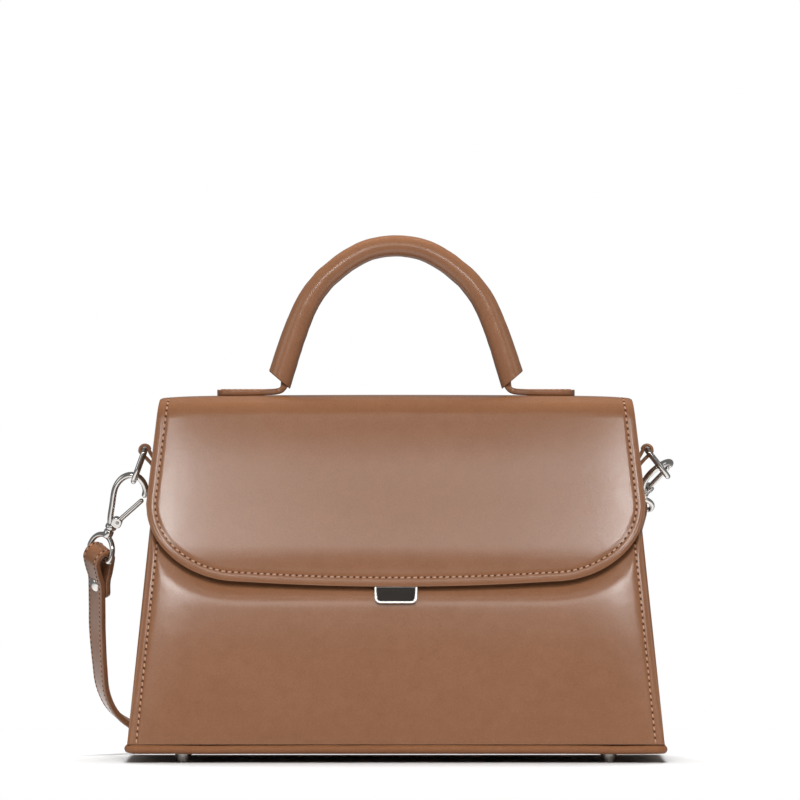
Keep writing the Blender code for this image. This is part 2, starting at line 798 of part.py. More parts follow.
def make_lock(front_panel, flap, fold_axis):
    flap_edge = flap_profile(FLAP_BUILD, FLAP_RUN, -1)[1]
    lock_centre = flap_edge - (GAP + LOCK_LENGTH / 2) * math.cos(LEAN)
    place = panel_frame(lock_centre, -1, GAP + LOCK_DEPTH / 2)
    mesh = slab_mesh(
        "lock_plate", LOCK_WIDTH, LOCK_LENGTH, LOCK_DEPTH, LOCK_CORNER, ("left", "right", "low")
    )
    plate = add_object("lock_plate", mesh, "nickel", place)
    bevel(plate, LOCK_BEVEL)
    recess = slab_mesh(
        "lock_recess",
        LOCK_WIDTH - 2 * LOCK_RIM,
        LOCK_LENGTH - 2 * LOCK_RIM,
        2 * LOCK_SINK,
        LOCK_CORNER - LOCK_RIM,
        ("left", "right", "low"),
    )
    recess_place = place @ Matrix.Translation((0, 0, LOCK_DEPTH / 2))
    boolean(plate, cutter_object("lock_recess", recess, recess_place))

    face = panel_frame(lock_centre + MAGNET_RISE, -1)
    seat_radius = MAGNET_RADIUS + GAP
    inner = -PANEL_THICKNESS * math.cos(LEAN)
    high = inner + MAGNET_THICKNESS
    hole = cylinder_mesh("magnet_seat", seat_radius, inner - OVERRUN, high + GAP, ROUND_SIDES)
    boolean(front_panel, cutter_object("magnet_seat", hole, face))
    mesh = cylinder_mesh("lock_magnet", MAGNET_RADIUS, inner, high, ROUND_SIDES)
    add_object("lock_magnet", mesh, "steel", face)
    mesh = slab_mesh(
        "lock_backplate", BACKPLATE_WIDTH, BACKPLATE_HEIGHT, BACKPLATE_THICKNESS, LOCK_CORNER
    )
    depth = inner - GAP - BACKPLATE_THICKNESS / 2
    add_object("lock_backplate", mesh, "steel", face @ Matrix.Translation((0, 0, depth)))

    low = FLAP_STANDOFF + FLAP_LINING_THICKNESS + GAP
    high = low + STRIKER_THICKNESS
    hole = cylinder_mesh("striker_seat", seat_radius, low - OVERRUN, high + GAP, ROUND_SIDES)
    boolean(flap, cutter_object("striker_seat", hole, face))
    mesh = cylinder_mesh("flap_striker", MAGNET_RADIUS, low, high, ROUND_SIDES)
    add_object("flap_striker", mesh, "steel", face, fold_axis)


# Handle


def handle_points():
    """Centreline from the left foot over the top to the right one."""
    right = []
    for x_share, z_share in HANDLE_ARCH_SHARES:
        right.append((HANDLE_HALF_SPAN * x_share, 0.0, BAG_HEIGHT + HANDLE_RISE * z_share))
    left = [(-x, y, z) for x, y, z in reversed(right[1:])]
    return smooth_rows(left + right, GRIP_STEP)


def grip_scale(point):
    """The grip's radius over its radius at the top, fuller towards its feet."""
    share = (BAG_HEIGHT + HANDLE_RISE - point.z) / (HANDLE_RISE - HANDLE_END_RISE)
    return mix(GRIP_TOP_RADIUS, GRIP_END_RADIUS, min(max(share, 0), 1)) / GRIP_TOP_RADIUS


def make_handle(top_axis, tilt_axis):
    points = handle_points()
    scales = [grip_scale(point) for point in points]
    mesh = wire_mesh(points, GRIP_TOP_RADIUS, sides=4, scales=scales)
    grip = add_object("handle_grip", mesh, "brown_leather", axis=tilt_axis)
    lead = (points[0] - points[1]).normalized() * OVERRUN
    tail = (points[-1] - points[-2]).normalized() * OVERRUN
    inner = points[1:-1]
    longer = [points[0] + lead, *inner, points[-1] + tail]
    boolean(grip, cutter_object("grip_bore", wire_mesh(longer, GRIP_BORE_RADIUS)))
    mesh = wire_mesh(inner, GRIP_BORE_RADIUS - PIN_CLEARANCE)
    add_object("handle_core", mesh, "core_rope", axis=tilt_axis)

    tab_x = HANDLE_HALF_SPAN - NECK_THICKNESS / 2
    for name, side in (("left", -1), ("right", 1)):
        saddle = cylinder_mesh(
            "saddle", NECK_RADIUS + GAP, -2 * GRIP_END_RADIUS, 2 * GRIP_END_RADIUS, ROUND_SIDES
        )
        place = Matrix.Translation((side * HANDLE_HALF_SPAN, 0, TILT_Z)) @ ALONG_X @ HALF_STEP
        boolean(grip, cutter_object(f"{name}_saddle", saddle, place))

        centre = (side * (tab_x + HANDLE_TAB_LENGTH / 2), 0, TAB_LOW + HANDLE_TAB_THICKNESS / 2)
        outer = ("right" if side > 0 else "left", "low", "high")
        mesh = slab_mesh(
            "handle_tab", HANDLE_TAB_LENGTH, HANDLE_TAB_WIDTH, HANDLE_TAB_THICKNESS,
            HANDLE_TAB_CORNER, outer,
        )
        place = Matrix.Translation(centre)
        tab = add_object(f"{name}_handle_tab", mesh, "brown_leather", place, top_axis)
        bevel(tab, HANDLE_TAB_ROUND)
        half = NECK_THICKNESS / 2
        post = tapered_box_mesh(
            "neck_post",
            (-half, half, -NECK_RADIUS, NECK_RADIUS, TAB_LOW + HANDLE_TAB_THICKNESS / 2),
            (-half, half, -NECK_RADIUS, NECK_RADIUS, TILT_Z),
        )
        place = Matrix.Translation((side * HANDLE_HALF_SPAN, 0, 0))
        boolean(tab, cutter_object(f"{name}_neck_post", post, place), "UNION")
        crown = cylinder_mesh("neck_crown", NECK_RADIUS, -half, half, ROUND_SIDES)
        place = Matrix.Translation((side * HANDLE_HALF_SPAN, 0, TILT_Z)) @ ALONG_X
        boolean(tab, cutter_object(f"{name}_neck_crown", crown, place), "UNION")

        mesh = slab_mesh("tab_plate", TAB_PLATE_LENGTH, TAB_PLATE_WIDTH, TAB_PLATE_THICKNESS)
        height = TOP_BOARD_LOW - GAP - TAB_PLATE_THICKNESS / 2
        place = Matrix.Translation((centre[0], 0, height))
        add_object(f"{name}_tab_plate", mesh, "steel", place, top_axis)


# Rivets, whose frame has Z out of the leather and its origin under the head


def rivet_mesh(radius, dome, grip, tail=True):
    """A domed head, a shank through what it grips and a flat tail under it."""
    points = [(0, dome)]
    for step in range(1, DOME_STEPS):
        turn = QUARTER_TURN * step / DOME_STEPS
        points.append((radius * math.sin(turn), dome * math.cos(turn)))
    points += [(radius, GAP), (RIVET_SHANK_RADIUS, GAP)]
    if tail:
        points += [(RIVET_SHANK_RADIUS, -grip - GAP), (RIVET_TAIL_RADIUS, -grip - GAP)]
        low = -grip - GAP - RIVET_TAIL_THICKNESS
        points += [(RIVET_TAIL_RADIUS, low), (0, low)]
    else:
        points += [(RIVET_SHANK_RADIUS, -grip), (0, -grip)]
    return profile_mesh("rivet", points)


def shank_cutter(name, grip, place):
    radius = RIVET_SHANK_RADIUS + PIN_CLEARANCE
    mesh = cylinder_mesh("shank_hole", radius, -grip - OVERRUN, OVERRUN)
    return cutter_object(name, mesh, place)


# Ring tabs


def make_ring_tab(name, side, gusset):
    """A leather strip folded over the ring's bar, both of its ends riveted to the gusset."""
    thick = RING_TAB_THICKNESS
    low = RING_Z - RING_TAB_DROP
    knee = RING_Z - RING_TAB_RISE
    inner = GAP + thick / 2
    outer = inner + thick + GAP
    radius = WIRE_RADIUS + GAP + thick / 2
    path = [(gusset_half_width(low) + inner, low), (gusset_half_width(knee) + inner, knee)]
    for step in range(LOOP_STEPS + 1):
        turn = LOOP_START - LOOP_SWEEP * step / LOOP_STEPS
        path.append((RING_X + radius * math.cos(turn), RING_Z + radius * math.sin(turn)))
    path += [(gusset_half_width(knee) + outer, knee), (gusset_half_width(low) + outer, low)]
    half = RING_TAB_WIDTH / 2
    rows = [((side * x, -half, z), (side * x, half, z)) for x, z in path]
    tab = add_object(f"{name}_ring_tab", strip_mesh("ring_tab", rows), "brown_leather")
    solidify(tab, thick, 0)

    height = RING_Z - TAB_RIVET_DROP
    slope = (MOUTH_WIDTH / 2 - PANEL_HALF_WIDTH) / (MOUTH_HEIGHT - PANEL_LOW)
    normal = Vector((side, 0, -slope)).normalized()
    face = Vector((side * (gusset_half_width(height) + outer + thick / 2), 0, height))
    place = frame_at(face, (0, side, 0), normal)
    grip = outer + thick / 2 + GUSSET_THICKNESS
    cutter = shank_cutter(f"{name}_tab_shank_hole", grip, place)
    boolean(tab, cutter)
    boolean(gusset, cutter)
    mesh = rivet_mesh(TAB_RIVET_RADIUS, TAB_RIVET_DOME, grip, tail=False)
    screw(add_object(f"{name}_tab_rivet", mesh, "nickel", place), SMALL_SIDES)


# Rings, hooks and strap ends


def d_points(half, low, high, corner, steps):
    """A D in its own YZ plane: a bar at low, corners and an arch that ends at high."""
    up = 1 if high > low else -1
    bend = corner * CORNER_BEND_SHARE
    arch = up * min(half, abs(high - low) - corner)
    points = [(0, half - corner, low), (0, half - bend, low + up * bend), (0, half, low + up * corner)]
    for step in range(steps + 1):
        turn = HALF_TURN * step / steps
        points.append((0, half * math.cos(turn), high - arch + arch * math.sin(turn)))
    points += [(0, -half, low + up * corner), (0, bend - half, low + up * bend), (0, corner - half, low)]
    return points


def ring_frame(side, tilt):
    """On the ring's bar: Y along the bar and Z up the ring's own plane."""
    down = Vector((side * math.sin(tilt), 0, -math.cos(tilt)))
    return frame_at((side * RING_X, 0, RING_Z), Vector((0, 1, 0)).cross(-down), -down)


def hook_frame(ring, clip, up):
    """Where the hook's crown bears on the ring: Z up the hook, Y through its opening."""
    arch = RING_DEPTH - RING_HALF_WIDTH
    down = arch + RING_HALF_WIDTH * math.cos(clip)
    origin = ring @ Vector((0, RING_HALF_WIDTH * math.sin(clip), -down))
    along = ring.to_3x3() @ Vector((0, math.cos(clip), math.sin(clip)))
    place = frame_at(origin, along.cross(up), up)
    return place @ Matrix.Translation((-HOOK_CROWN_X, 0, -HOOK_GRIP_Z))


def make_hook(name, place, axis, gate_axis):
    rows = [(HOOK_REACH * x, 0.0, HOOK_REACH * z) for x, z in HOOK_WIRE_SHARES]
    points = smooth_rows(rows, 2 * HOOK_WIRE_RADIUS)
    hook = add_object(
        f"{name}_hook_frame", wire_mesh(points, HOOK_WIRE_RADIUS), "nickel", place, axis
    )
    collar = cylinder_mesh("collar", COLLAR_RADIUS, COLLAR_LOW, COLLAR_HIGH, SMALL_SIDES)
    boolean(hook, cutter_object(f"{name}_collar", collar, place), "UNION")
    pin = place @ Matrix.Translation((LUG_X, 0, LUG_Z)) @ ALONG_Y
    half = LUG_THICKNESS / 2
    right = LUG_X + LUG_RADIUS
    high = LUG_Z + LUG_RADIUS
    mesh = slab_mesh(
        "lug", right + HOOK_WIRE_RADIUS, high - COLLAR_HIGH / 2, LUG_THICKNESS,
        LUG_RADIUS - GAP, ("right", "low", "high"),
    )
    centre = ((right - HOOK_WIRE_RADIUS) / 2, 0, (high + COLLAR_HIGH / 2) / 2)
    lug_place = place @ Matrix.Translation(centre) @ Matrix.Rotation(QUARTER_TURN, 4, "X")
    boolean(hook, cutter_object(f"{name}_lug", mesh, lug_place), "UNION")
    slot = GATE_EYE_THICKNESS / 2 + GAP
    mesh = cylinder_mesh("gate_slot", LUG_RADIUS + GAP, -slot, slot, SMALL_SIDES)
    boolean(hook, cutter_object(f"{name}_gate_slot", mesh, pin))
    mesh = cylinder_mesh(
        "pin_hole", GATE_PIN_RADIUS + PIN_CLEARANCE, -half - OVERRUN, half + OVERRUN, SMALL_SIDES
    )
    pin_hole = cutter_object(f"{name}_pin_hole", mesh, pin)
    boolean(hook, pin_hole)
    end = half + PIN_PROUD
    mesh = cylinder_mesh("gate_pin", GATE_PIN_RADIUS, -end, end, SMALL_SIDES)
    add_object(f"{name}_gate_pin", mesh, "steel", pin, axis)

    rows = [(LUG_X, 0.0, LUG_Z), (GATE_TIP_X, 0.0, GATE_TIP_Z)]
    gate = add_object(f"{name}_hook_gate", wire_mesh(rows, GATE_RADIUS), "nickel", place, gate_axis)
    half = GATE_EYE_THICKNESS / 2
    eye = cylinder_mesh("gate_eye", GATE_EYE_RADIUS, -half, half, SMALL_SIDES)
    side_cut = cylinder_mesh("gate_cheek", LUG_RADIUS + 2 * GAP, half, half + OVERRUN, SMALL_SIDES)
    boolean(gate, cutter_object(f"{name}_gate_cheek_1", side_cut, pin))
    boolean(gate, cutter_object(f"{name}_gate_cheek_2", side_cut, pin @ FLIPPED))
    boolean(gate, cutter_object(f"{name}_gate_eye", eye, pin), "UNION")
    boolean(gate, pin_hole)


def make_strap_end(name, place, axis):
    """The strap's end folded round the eye's bar. Y is square to the strap and Z up it."""
    near = (STRAP_THICKNESS + GAP) / 2
    radius = STRAP_LOOP_RADIUS
    centre = WIRE_RADIUS + GAP + STRAP_THICKNESS / 2 - radius
    path = [(near, -STRAP_TAIL_LENGTH), (near, -STRAP_PINCH)]
    for step in range(LOOP_STEPS + 1):
        turn = HALF_TURN * step / LOOP_STEPS
        path.append((radius * math.cos(turn), centre + radius * math.sin(turn)))
    path += [(-near, -STRAP_PINCH), (-near, -STRAP_END_LENGTH)]
    half = STRAP_WIDTH / 2
    rows = [((-half, y, z), (half, y, z)) for y, z in path]
    mesh = strip_mesh("strap_end", rows)
    end = add_object(f"{name}_strap_end", mesh, "brown_leather", place, axis)
    solidify(end, STRAP_THICKNESS, 0)
    head = near + STRAP_THICKNESS / 2
    rivet_place = place @ frame_at((0, -head, -STRAP_RIVET_DROP), (1, 0, 0), (0, -1, 0))
    boolean(end, shank_cutter(f"{name}_strap_shank_hole", 2 * head, rivet_place))
    mesh = rivet_mesh(STRAP_RIVET_RADIUS, STRAP_RIVET_DOME, 2 * head)
    screw(add_object(f"{name}_strap_rivet", mesh, "nickel", rivet_place, axis), SMALL_SIDES)


def strap_end_frame(place, hang):
    """On the eye's bar: X along it, Z up the strap."""
    bar = place @ Vector((0, 0, EYE_BAR))
    up = -hang["strap_down"]
    along = frame_at(bar, hang["bar"], hang["hook_up"]).to_3x3() @ Vector((1, 0, 0))
    up = up - along * up.dot(along)
    return frame_at(bar, along, up)


def make_side(name, hang, gusset):
    side = hang["side"]
    make_ring_tab(name, side, gusset)
    ring = ring_frame(side, hang["tilt"])
    ring_axis = axis_empty(f"{name}_ring_axis", ring)
    points = d_points(RING_HALF_WIDTH, 0, -RING_DEPTH, RING_CORNER, RING_STEPS)
    mesh = wire_mesh(points, WIRE_RADIUS, cyclic=True)
    add_object(f"{name}_d_ring", mesh, "nickel", ring, ring_axis)

    place = hook_frame(ring, hang["clip"], hang["hook_up"])
    hook_axis = axis_empty(f"{name}_hook_axis", place, ring_axis)
    gate_place = place @ Matrix.Translation((LUG_X, 0, LUG_Z))
    gate_axis = axis_empty(f"{name}_gate_axis", gate_place, hook_axis)
    make_hook(name, place, hook_axis, gate_axis)

    turned = frame_at(place.translation, hang["bar"], hang["hook_up"])
    turned = turned @ Matrix.Rotation(QUARTER_TURN, 4, "Z")
    points = d_points(EYE_HALF_WIDTH, EYE_BAR, EYE_TOP, EYE_CORNER, RING_STEPS)
    mesh = wire_mesh(points, WIRE_RADIUS, cyclic=True)
    eye = add_object(f"{name}_swivel_eye", mesh, "nickel", turned, ring_axis)
    high = COLLAR_LOW - GAP
    profile = (
        (0, high),
        (KNOB_RADIUS - KNOB_ROUND, high),
        (KNOB_RADIUS, high - KNOB_ROUND),
        (KNOB_RADIUS, high - KNOB_LENGTH + KNOB_ROUND),
        (KNOB_RADIUS - KNOB_ROUND, high - KNOB_LENGTH),
        (0, high - KNOB_LENGTH),
    )
    knob = cutter_object(f"{name}_knob", profile_mesh("knob", profile), turned)
    screw(knob, SMALL_SIDES)
    boolean(eye, knob, "UNION")

    frame = strap_end_frame(place, hang)
    make_strap_end(name, frame, ring_axis)
    return frame


def make_strap(left, right):
    """The run between the two folded ends, as a flat band along its route."""
    near = (STRAP_THICKNESS + GAP) / 2

    def lead(frame, drop):
        point = frame @ Vector((0, -near, -STRAP_END_LENGTH - drop))
        width = frame.to_3x3() @ Vector((1, 0, 0))
        return (*point, *width)

    rows = [lead(left, GAP), lead(left, GAP + STRAP_LEAD)]
    rows += [(*point, *width) for point, width in STRAP_ROUTE]
    rows += [lead(right, GAP + STRAP_LEAD), lead(right, GAP)]
    rows = smooth_rows(rows, STRAP_STEP)
    points = [Vector(row[:3]) for row in rows]
    length = sum((b - a).length for a, b in zip(points, points[1:]))
    bands = []
    for index, row in enumerate(rows):
        ahead = points[min(index + 1, len(points) - 1)]
        behind = points[max(index - 1, 0)]
        tangent = (ahead - behind).normalized()
        width = Vector(row[3:6])
        if 0 < index < len(points) - 1:
            width = width - tangent * width.dot(tangent)
        width = width.normalized() * STRAP_WIDTH / 2
        bands.append((points[index] - width, points[index] + width))
    strap = add_object("strap", strip_mesh("strap", bands), "brown_leather")
    solidify(strap, STRAP_THICKNESS, 0)
    print(f"strap run {length:.4f} m in {len(points)} points")


def main():
    make_base()
    front_panel = make_panel("front_panel", -1)
    make_panel("back_panel", 1)
    gussets = {name: make_gusset(f"{name}_gusset", hang["side"]) for name, hang in HANG.items()}
    make_lining()

    top_axis = axis_empty("flap_top_axis", Matrix.Translation((0, FOLD_Y, BAG_HEIGHT)))
    fold_place = Matrix.Translation((0, -FOLD_Y, BAG_HEIGHT))
    fold_axis = axis_empty("flap_fold_axis", fold_place, top_axis)
    tilt_axis = axis_empty("handle_tilt_axis", Matrix.Translation((0, 0, TILT_Z)), top_axis)
    flap = make_flap(top_axis, fold_axis)
    make_lock(front_panel, flap, fold_axis)
    make_handle(top_axis, tilt_axis)

    frames = {name: make_side(name, hang, gussets[name]) for name, hang in HANG.items()}
    make_strap(frames["left"], frames["right"])


main()
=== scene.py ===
"""Looks of the brown leather handbag: camera, studio, and every piece built round the CAD frame.

Metres, +Z up, the bag's front towards -Y. The origin is the centre of the base on the floor.
"""

from math import asin, copysign, cos, exp, hypot, pi, radians, sin, sqrt

import bmesh
import bpy
from mathutils import Matrix, Vector, noise


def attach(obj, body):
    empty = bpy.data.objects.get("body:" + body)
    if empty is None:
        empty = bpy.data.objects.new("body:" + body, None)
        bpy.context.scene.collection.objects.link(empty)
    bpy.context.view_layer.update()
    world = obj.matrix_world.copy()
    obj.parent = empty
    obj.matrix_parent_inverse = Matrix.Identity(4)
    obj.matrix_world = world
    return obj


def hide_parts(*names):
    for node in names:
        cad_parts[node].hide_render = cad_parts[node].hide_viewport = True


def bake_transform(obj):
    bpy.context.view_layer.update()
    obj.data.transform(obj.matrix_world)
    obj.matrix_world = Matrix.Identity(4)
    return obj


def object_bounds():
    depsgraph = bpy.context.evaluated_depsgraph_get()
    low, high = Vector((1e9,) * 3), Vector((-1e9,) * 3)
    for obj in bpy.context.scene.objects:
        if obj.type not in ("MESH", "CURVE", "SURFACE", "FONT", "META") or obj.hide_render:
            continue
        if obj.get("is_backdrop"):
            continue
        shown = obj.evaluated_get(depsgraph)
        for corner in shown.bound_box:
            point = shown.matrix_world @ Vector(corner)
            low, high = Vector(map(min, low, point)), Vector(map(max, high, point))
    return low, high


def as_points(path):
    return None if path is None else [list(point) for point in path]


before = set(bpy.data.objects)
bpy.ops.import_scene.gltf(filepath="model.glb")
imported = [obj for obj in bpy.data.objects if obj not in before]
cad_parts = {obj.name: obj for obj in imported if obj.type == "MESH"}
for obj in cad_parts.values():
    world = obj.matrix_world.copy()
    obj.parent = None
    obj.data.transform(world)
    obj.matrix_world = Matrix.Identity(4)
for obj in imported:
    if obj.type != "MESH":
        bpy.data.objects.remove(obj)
CAD_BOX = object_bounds()

# Camera: level, straight at the front, from far away
CAMERA_PLACE = (0.0021, -4.555, 0.187)
PICTURE_WIDTH = 0.4118
PICTURE_DISTANCE = 4.5
SENSOR = 36.0

# Sizes shared with the CAD
GAP = 0.0003
BASE_WIDTH = 0.280
BASE_DEPTH = 0.110
LIP_LOW = 0.0048
LIP_HIGH = 0.0093
PANEL_LOW = 0.0096
MOUTH_HEIGHT = 0.176
MOUTH_HALF_WIDTH = 0.1218
MOUTH_HALF_DEPTH = 0.023
PANEL_HALF_WIDTH = 0.1385
PANEL_HALF_DEPTH = 0.0535
PANEL_THICKNESS = 0.0026
GUSSET_INSET = 0.0015
GUSSET_THICKNESS = 0.0018
BAG_HEIGHT = 0.189
LEAN = 0.181281
FOLD_Y = 0.013728
ROLL_RADIUS = 0.014
FLAP_THICKNESS = 0.0024
FLAP_TOP_WIDTH = 0.2442
FLAP_ROLL_WIDTH = 0.2482
FLAP_WIDTH = 0.2584
FLAP_RUN = 0.0885
FLAP_CORNER_WIDTH = 0.0487
FLAP_CORNER_HEIGHT = 0.041
FLAP_BOW = 0.0027
ANCHOR_RUN = 0.026
WIRE_RADIUS = 0.0014
STRAP_WIDTH = 0.012
STRAP_THICKNESS = 0.003
STRAP_END_LENGTH = 0.036
RING_X = 0.1308
RING_Z = 0.161

# What follows from them
ROLL_HEIGHT = BAG_HEIGHT - ROLL_RADIUS
ROLL_SWEEP = pi / 2 - LEAN
ROLL_LENGTH = ROLL_RADIUS * ROLL_SWEEP
ROLL_END = FOLD_Y + ROLL_LENGTH
FLAP_STRAIGHT = FLAP_RUN - FLAP_CORNER_HEIGHT - FLAP_BOW
FLAP_FLAT_HALF = FLAP_WIDTH / 2 - FLAP_CORNER_WIDTH
OUTWARD = {side: Vector((0, side * cos(LEAN), sin(LEAN))) for side in (-1, 1)}
UP_THE_FRONT = Vector((0, sin(LEAN), cos(LEAN)))
X_AXIS, Y_AXIS, Z_AXIS = Vector((1, 0, 0)), Vector((0, 1, 0)), Vector((0, 0, 1))

# The strap's route behind the bag: each place with the way that its width lies, and for the
# stretch where it stands on its edge along the floor, only the places seen from above
STRAP_LEFT = (
    (-0.1560, 0.0480, 0.0480, 0.53, -0.76, -0.37), (-0.1543, 0.0565, 0.0335, 0.47, -0.82, -0.33),
    (-0.1480, 0.0650, 0.0215, 0.38, -0.88, -0.28), (-0.1350, 0.0720, 0.0130, 0.22, -0.93, -0.30),
    (-0.1170, 0.0775, 0.0092, 0.08, -0.84, -0.54), (-0.0970, 0.0820, 0.0075, 0.02, -0.55, -0.83),
    (-0.0750, 0.0850, 0.0068, 0.0, -0.20, -0.98),
)
STRAP_FLOOR = (
    (-0.0450, 0.0860), (0.0, 0.0865), (0.0400, 0.0885), (0.0650, 0.0960), (0.0785, 0.1150),
    (0.0680, 0.1340), (0.0430, 0.1400), (0.0, 0.1370), (-0.0430, 0.1365), (-0.0690, 0.1440),
    (-0.0800, 0.1630), (-0.0690, 0.1820), (-0.0430, 0.1880), (0.0, 0.1860), (0.0430, 0.1830),
)
STRAP_FLOOR_HEIGHT = 0.0064
STRAP_RIGHT = (
    (0.0800, 0.1730, 0.0064, 0.05, 0.02, -1.0), (0.1060, 0.1520, 0.0062, 0.45, 0.30, -0.83),
    (0.1200, 0.1250, 0.0044, 0.86, 0.28, -0.42), (0.1250, 0.1000, 0.0026, 0.99, 0.10, -0.08),
    (0.1255, 0.0810, 0.0090, 1.0, 0.05, 0.0), (0.1248, 0.0700, 0.0280, 0.99, 0.12, 0.0),
    (0.1240, 0.0640, 0.0510, 0.98, 0.18, -0.04), (0.1236, 0.0605, 0.0720, 0.96, 0.24, -0.10),
)


def matrix_of(origin, x, y, z):
    """A frame from its origin and its three axes."""
    return Matrix.Translation(origin) @ Matrix((x, y, z)).transposed().to_4x4()


def shown(name, data):
    """A new object of the scene that holds this data."""
    holder = bpy.data.objects.new(name, data)
    bpy.context.scene.collection.objects.link(holder)
    return holder


def make_camera():
    camera = bpy.data.cameras.new("camera")
    camera.sensor_width = SENSOR
    camera.lens = SENSOR * PICTURE_DISTANCE / PICTURE_WIDTH
    camera.clip_end = 50
    holder = shown("camera", camera)
    holder.location = CAMERA_PLACE
    holder.rotation_euler = (pi / 2, 0, 0)
    bpy.context.scene.camera = holder
    bpy.context.scene.view_settings.view_transform = "Standard"


make_camera()


# Smooth lines


def spots_along(points, spacing, least, shift=0.0):
    """(index, share) of places about spacing apart on a line, the first a shift of a step in."""
    lengths = [0.0]
    for a, b in zip(points, points[1:]):
        lengths.append(lengths[-1] + (b - a).length)
    count = max(least, round(lengths[-1] / spacing))
    index = 0
    for step in range(count if shift else count + 1):
        goal = lengths[-1] * (step + shift) / count
        while index < len(points) - 2 and lengths[index + 1] < goal:
            index += 1
        share = (goal - lengths[index]) / max(lengths[index + 1] - lengths[index], 0.000001)
        yield index, min(share, 1)


def smooth_rows(rows, spacing, steps=12):
    """Rows of numbers about spacing apart on a smooth curve through the given rows."""
    rows = [Vector(row) for row in rows]
    rows = [rows[0] * 2 - rows[1], *rows, rows[-1] * 2 - rows[-2]]
    fine = []
    for a, b, c, d in zip(rows, rows[1:], rows[2:], rows[3:]):
        for step in range(steps):
            t = step / steps
            bend = (a * 2 - b * 5 + c * 4 - d) * t ** 2 + (b * 3 - a - c * 3 + d) * t ** 3
            fine.append((b * 2 + (c - a) * t + bend) / 2)
    fine.append(rows[-2])
    spots = spots_along([Vector(row[:3]) for row in fine], spacing, 2)
    return [fine[index].lerp(fine[index + 1], share) for index, share in spots]


def length_of(points):
    return sum((b - a).length for a, b in zip(points, points[1:]))


def tangents(points, closed=False):
    """The direction of a line at each of its points."""
    before, after = (points[-1], points[0]) if closed else (points[0], points[-1])
    pairs = zip([before, *points[:-1]], [*points[1:], after])
    return [(b - a).normalized() for a, b in pairs]


def picked(row, share):
    return row[round(share * (len(row) - 1))]


def placed(points, place):
    return [place @ Vector(point) for point in points]


# Materials


def fill(tree, node, values):
    """Gives a node's sockets their values or links."""
    for slot, value in values.items():
        if isinstance(value, Amount):
            value = value.socket
        if isinstance(value, bpy.types.NodeSocket):
            tree.links.new(value, node.inputs[slot])
        else:
            node.inputs[slot].default_value = value


def new_node(tree, kind, settings=None, values=None):
    """A node, first with its settings and then with its sockets' values or links."""
    node = tree.nodes.new("ShaderNode" + kind)
    for name, value in (settings or {}).items():
        setattr(node, name, value)
    fill(tree, node, values or {})
    return node


def operator(operation, reflected=False):
    """A Python operator that adds a Math node."""
    def worked(self, other):
        first, second = (other, self) if reflected else (self, other)
        return self.combined(operation, first, second)

    return worked


class Amount:
    """A number that varies over a surface, so that a material can be written as sums."""

    def __init__(self, tree, socket):
        self.tree = tree
        self.socket = socket

    def combined(self, operation, first, second):
        node = new_node(self.tree, "Math", {"operation": operation}, {0: first, 1: second})
        return Amount(self.tree, node.outputs[0])

    __add__, __radd__ = operator("ADD"), operator("ADD", True)
    __sub__, __rsub__ = operator("SUBTRACT"), operator("SUBTRACT", True)
    __mul__, __rmul__ = operator("MULTIPLY"), operator("MULTIPLY", True)

    def limited(self):
        """The amount kept between 0 and 1."""
        return self.combined("MINIMUM", self.combined("MAXIMUM", self, 0), 1)


class Finish:
    """A material under construction, with textures laid out in the piece's own metres."""

    def __init__(self, name):
        self.material = bpy.data.materials.new(name)
        self.material.use_nodes = True
        self.tree = self.material.node_tree
        self.shader = self.tree.nodes["Principled BSDF"]
        self.place = new_node(self.tree, "TexCoord").outputs["Object"]

    def texture(self, kind, output, settings, values):
        node = new_node(self.tree, kind, settings, {"Vector": self.place, **values})
        return Amount(self.tree, node.outputs[output])

    def cloudy(self, scale, detail):
        return self.texture("TexNoise", "Fac", {}, {"Scale": scale, "Detail": detail})

    def cells(self, scale):
        return self.texture("TexVoronoi", "Distance", {"feature": "DISTANCE_TO_EDGE"}, {"Scale": scale})

    def bands(self, scale, direction):
        return self.texture("TexWave", "Fac", {"bands_direction": direction}, {"Scale": scale})

    def blended(self, amount, first, second):
        values = {0: amount, 6: (*first, 1), 7: (*second, 1)}
        return new_node(self.tree, "Mix", {"data_type": "RGBA"}, values).outputs[2]

    def bumped(self, height, depth):
        values = {"Distance": depth, "Height": height}
        return new_node(self.tree, "Bump", {}, values).outputs["Normal"]

    def finish(self, colour, roughness, values):
        fill(self.tree, self.shader, {"Base Color": colour, "Roughness": roughness, **values})
        return self.material


def leather(name, dark, light, roughness, grain=0.00005, shine=0.20, gloss=0.5):
    """Smooth leather: cloudy dye with fine speckles, a soft grain and a thin coat."""
    made = Finish(name)
    broad, fine, speckle = made.cloudy(22, 3), made.cloudy(170, 4), made.cloudy(1250, 2)
    tone = (broad * 0.28 + fine * 0.32 + speckle * 0.70 - 0.38) * 2.0
    creases = (made.cells(900) * 1.6).limited()
    height = creases * 0.10 + speckle * 0.12 + made.cloudy(210, 2) * 0.9
    return made.finish(made.blended(tone.limited(), dark, light), roughness - 0.04 + fine * 0.08, {
        "Coat Weight": shine, "Specular IOR Level": gloss, "Coat Roughness": 0.20,
        "Normal": made.bumped(height, grain),
    })


def metal(name, colour, roughness):
    """Polished metal with a faint haze and fine scratches."""
    made = Finish(name)
    haze = made.cloudy(90, 3)
    worn = tuple(share * 0.93 for share in colour)
    return made.finish(made.blended(haze, colour, worn), roughness + haze * 0.06, {
        "Metallic": 1.0, "Normal": made.bumped(made.cloudy(1400, 2), 0.000004),
    })


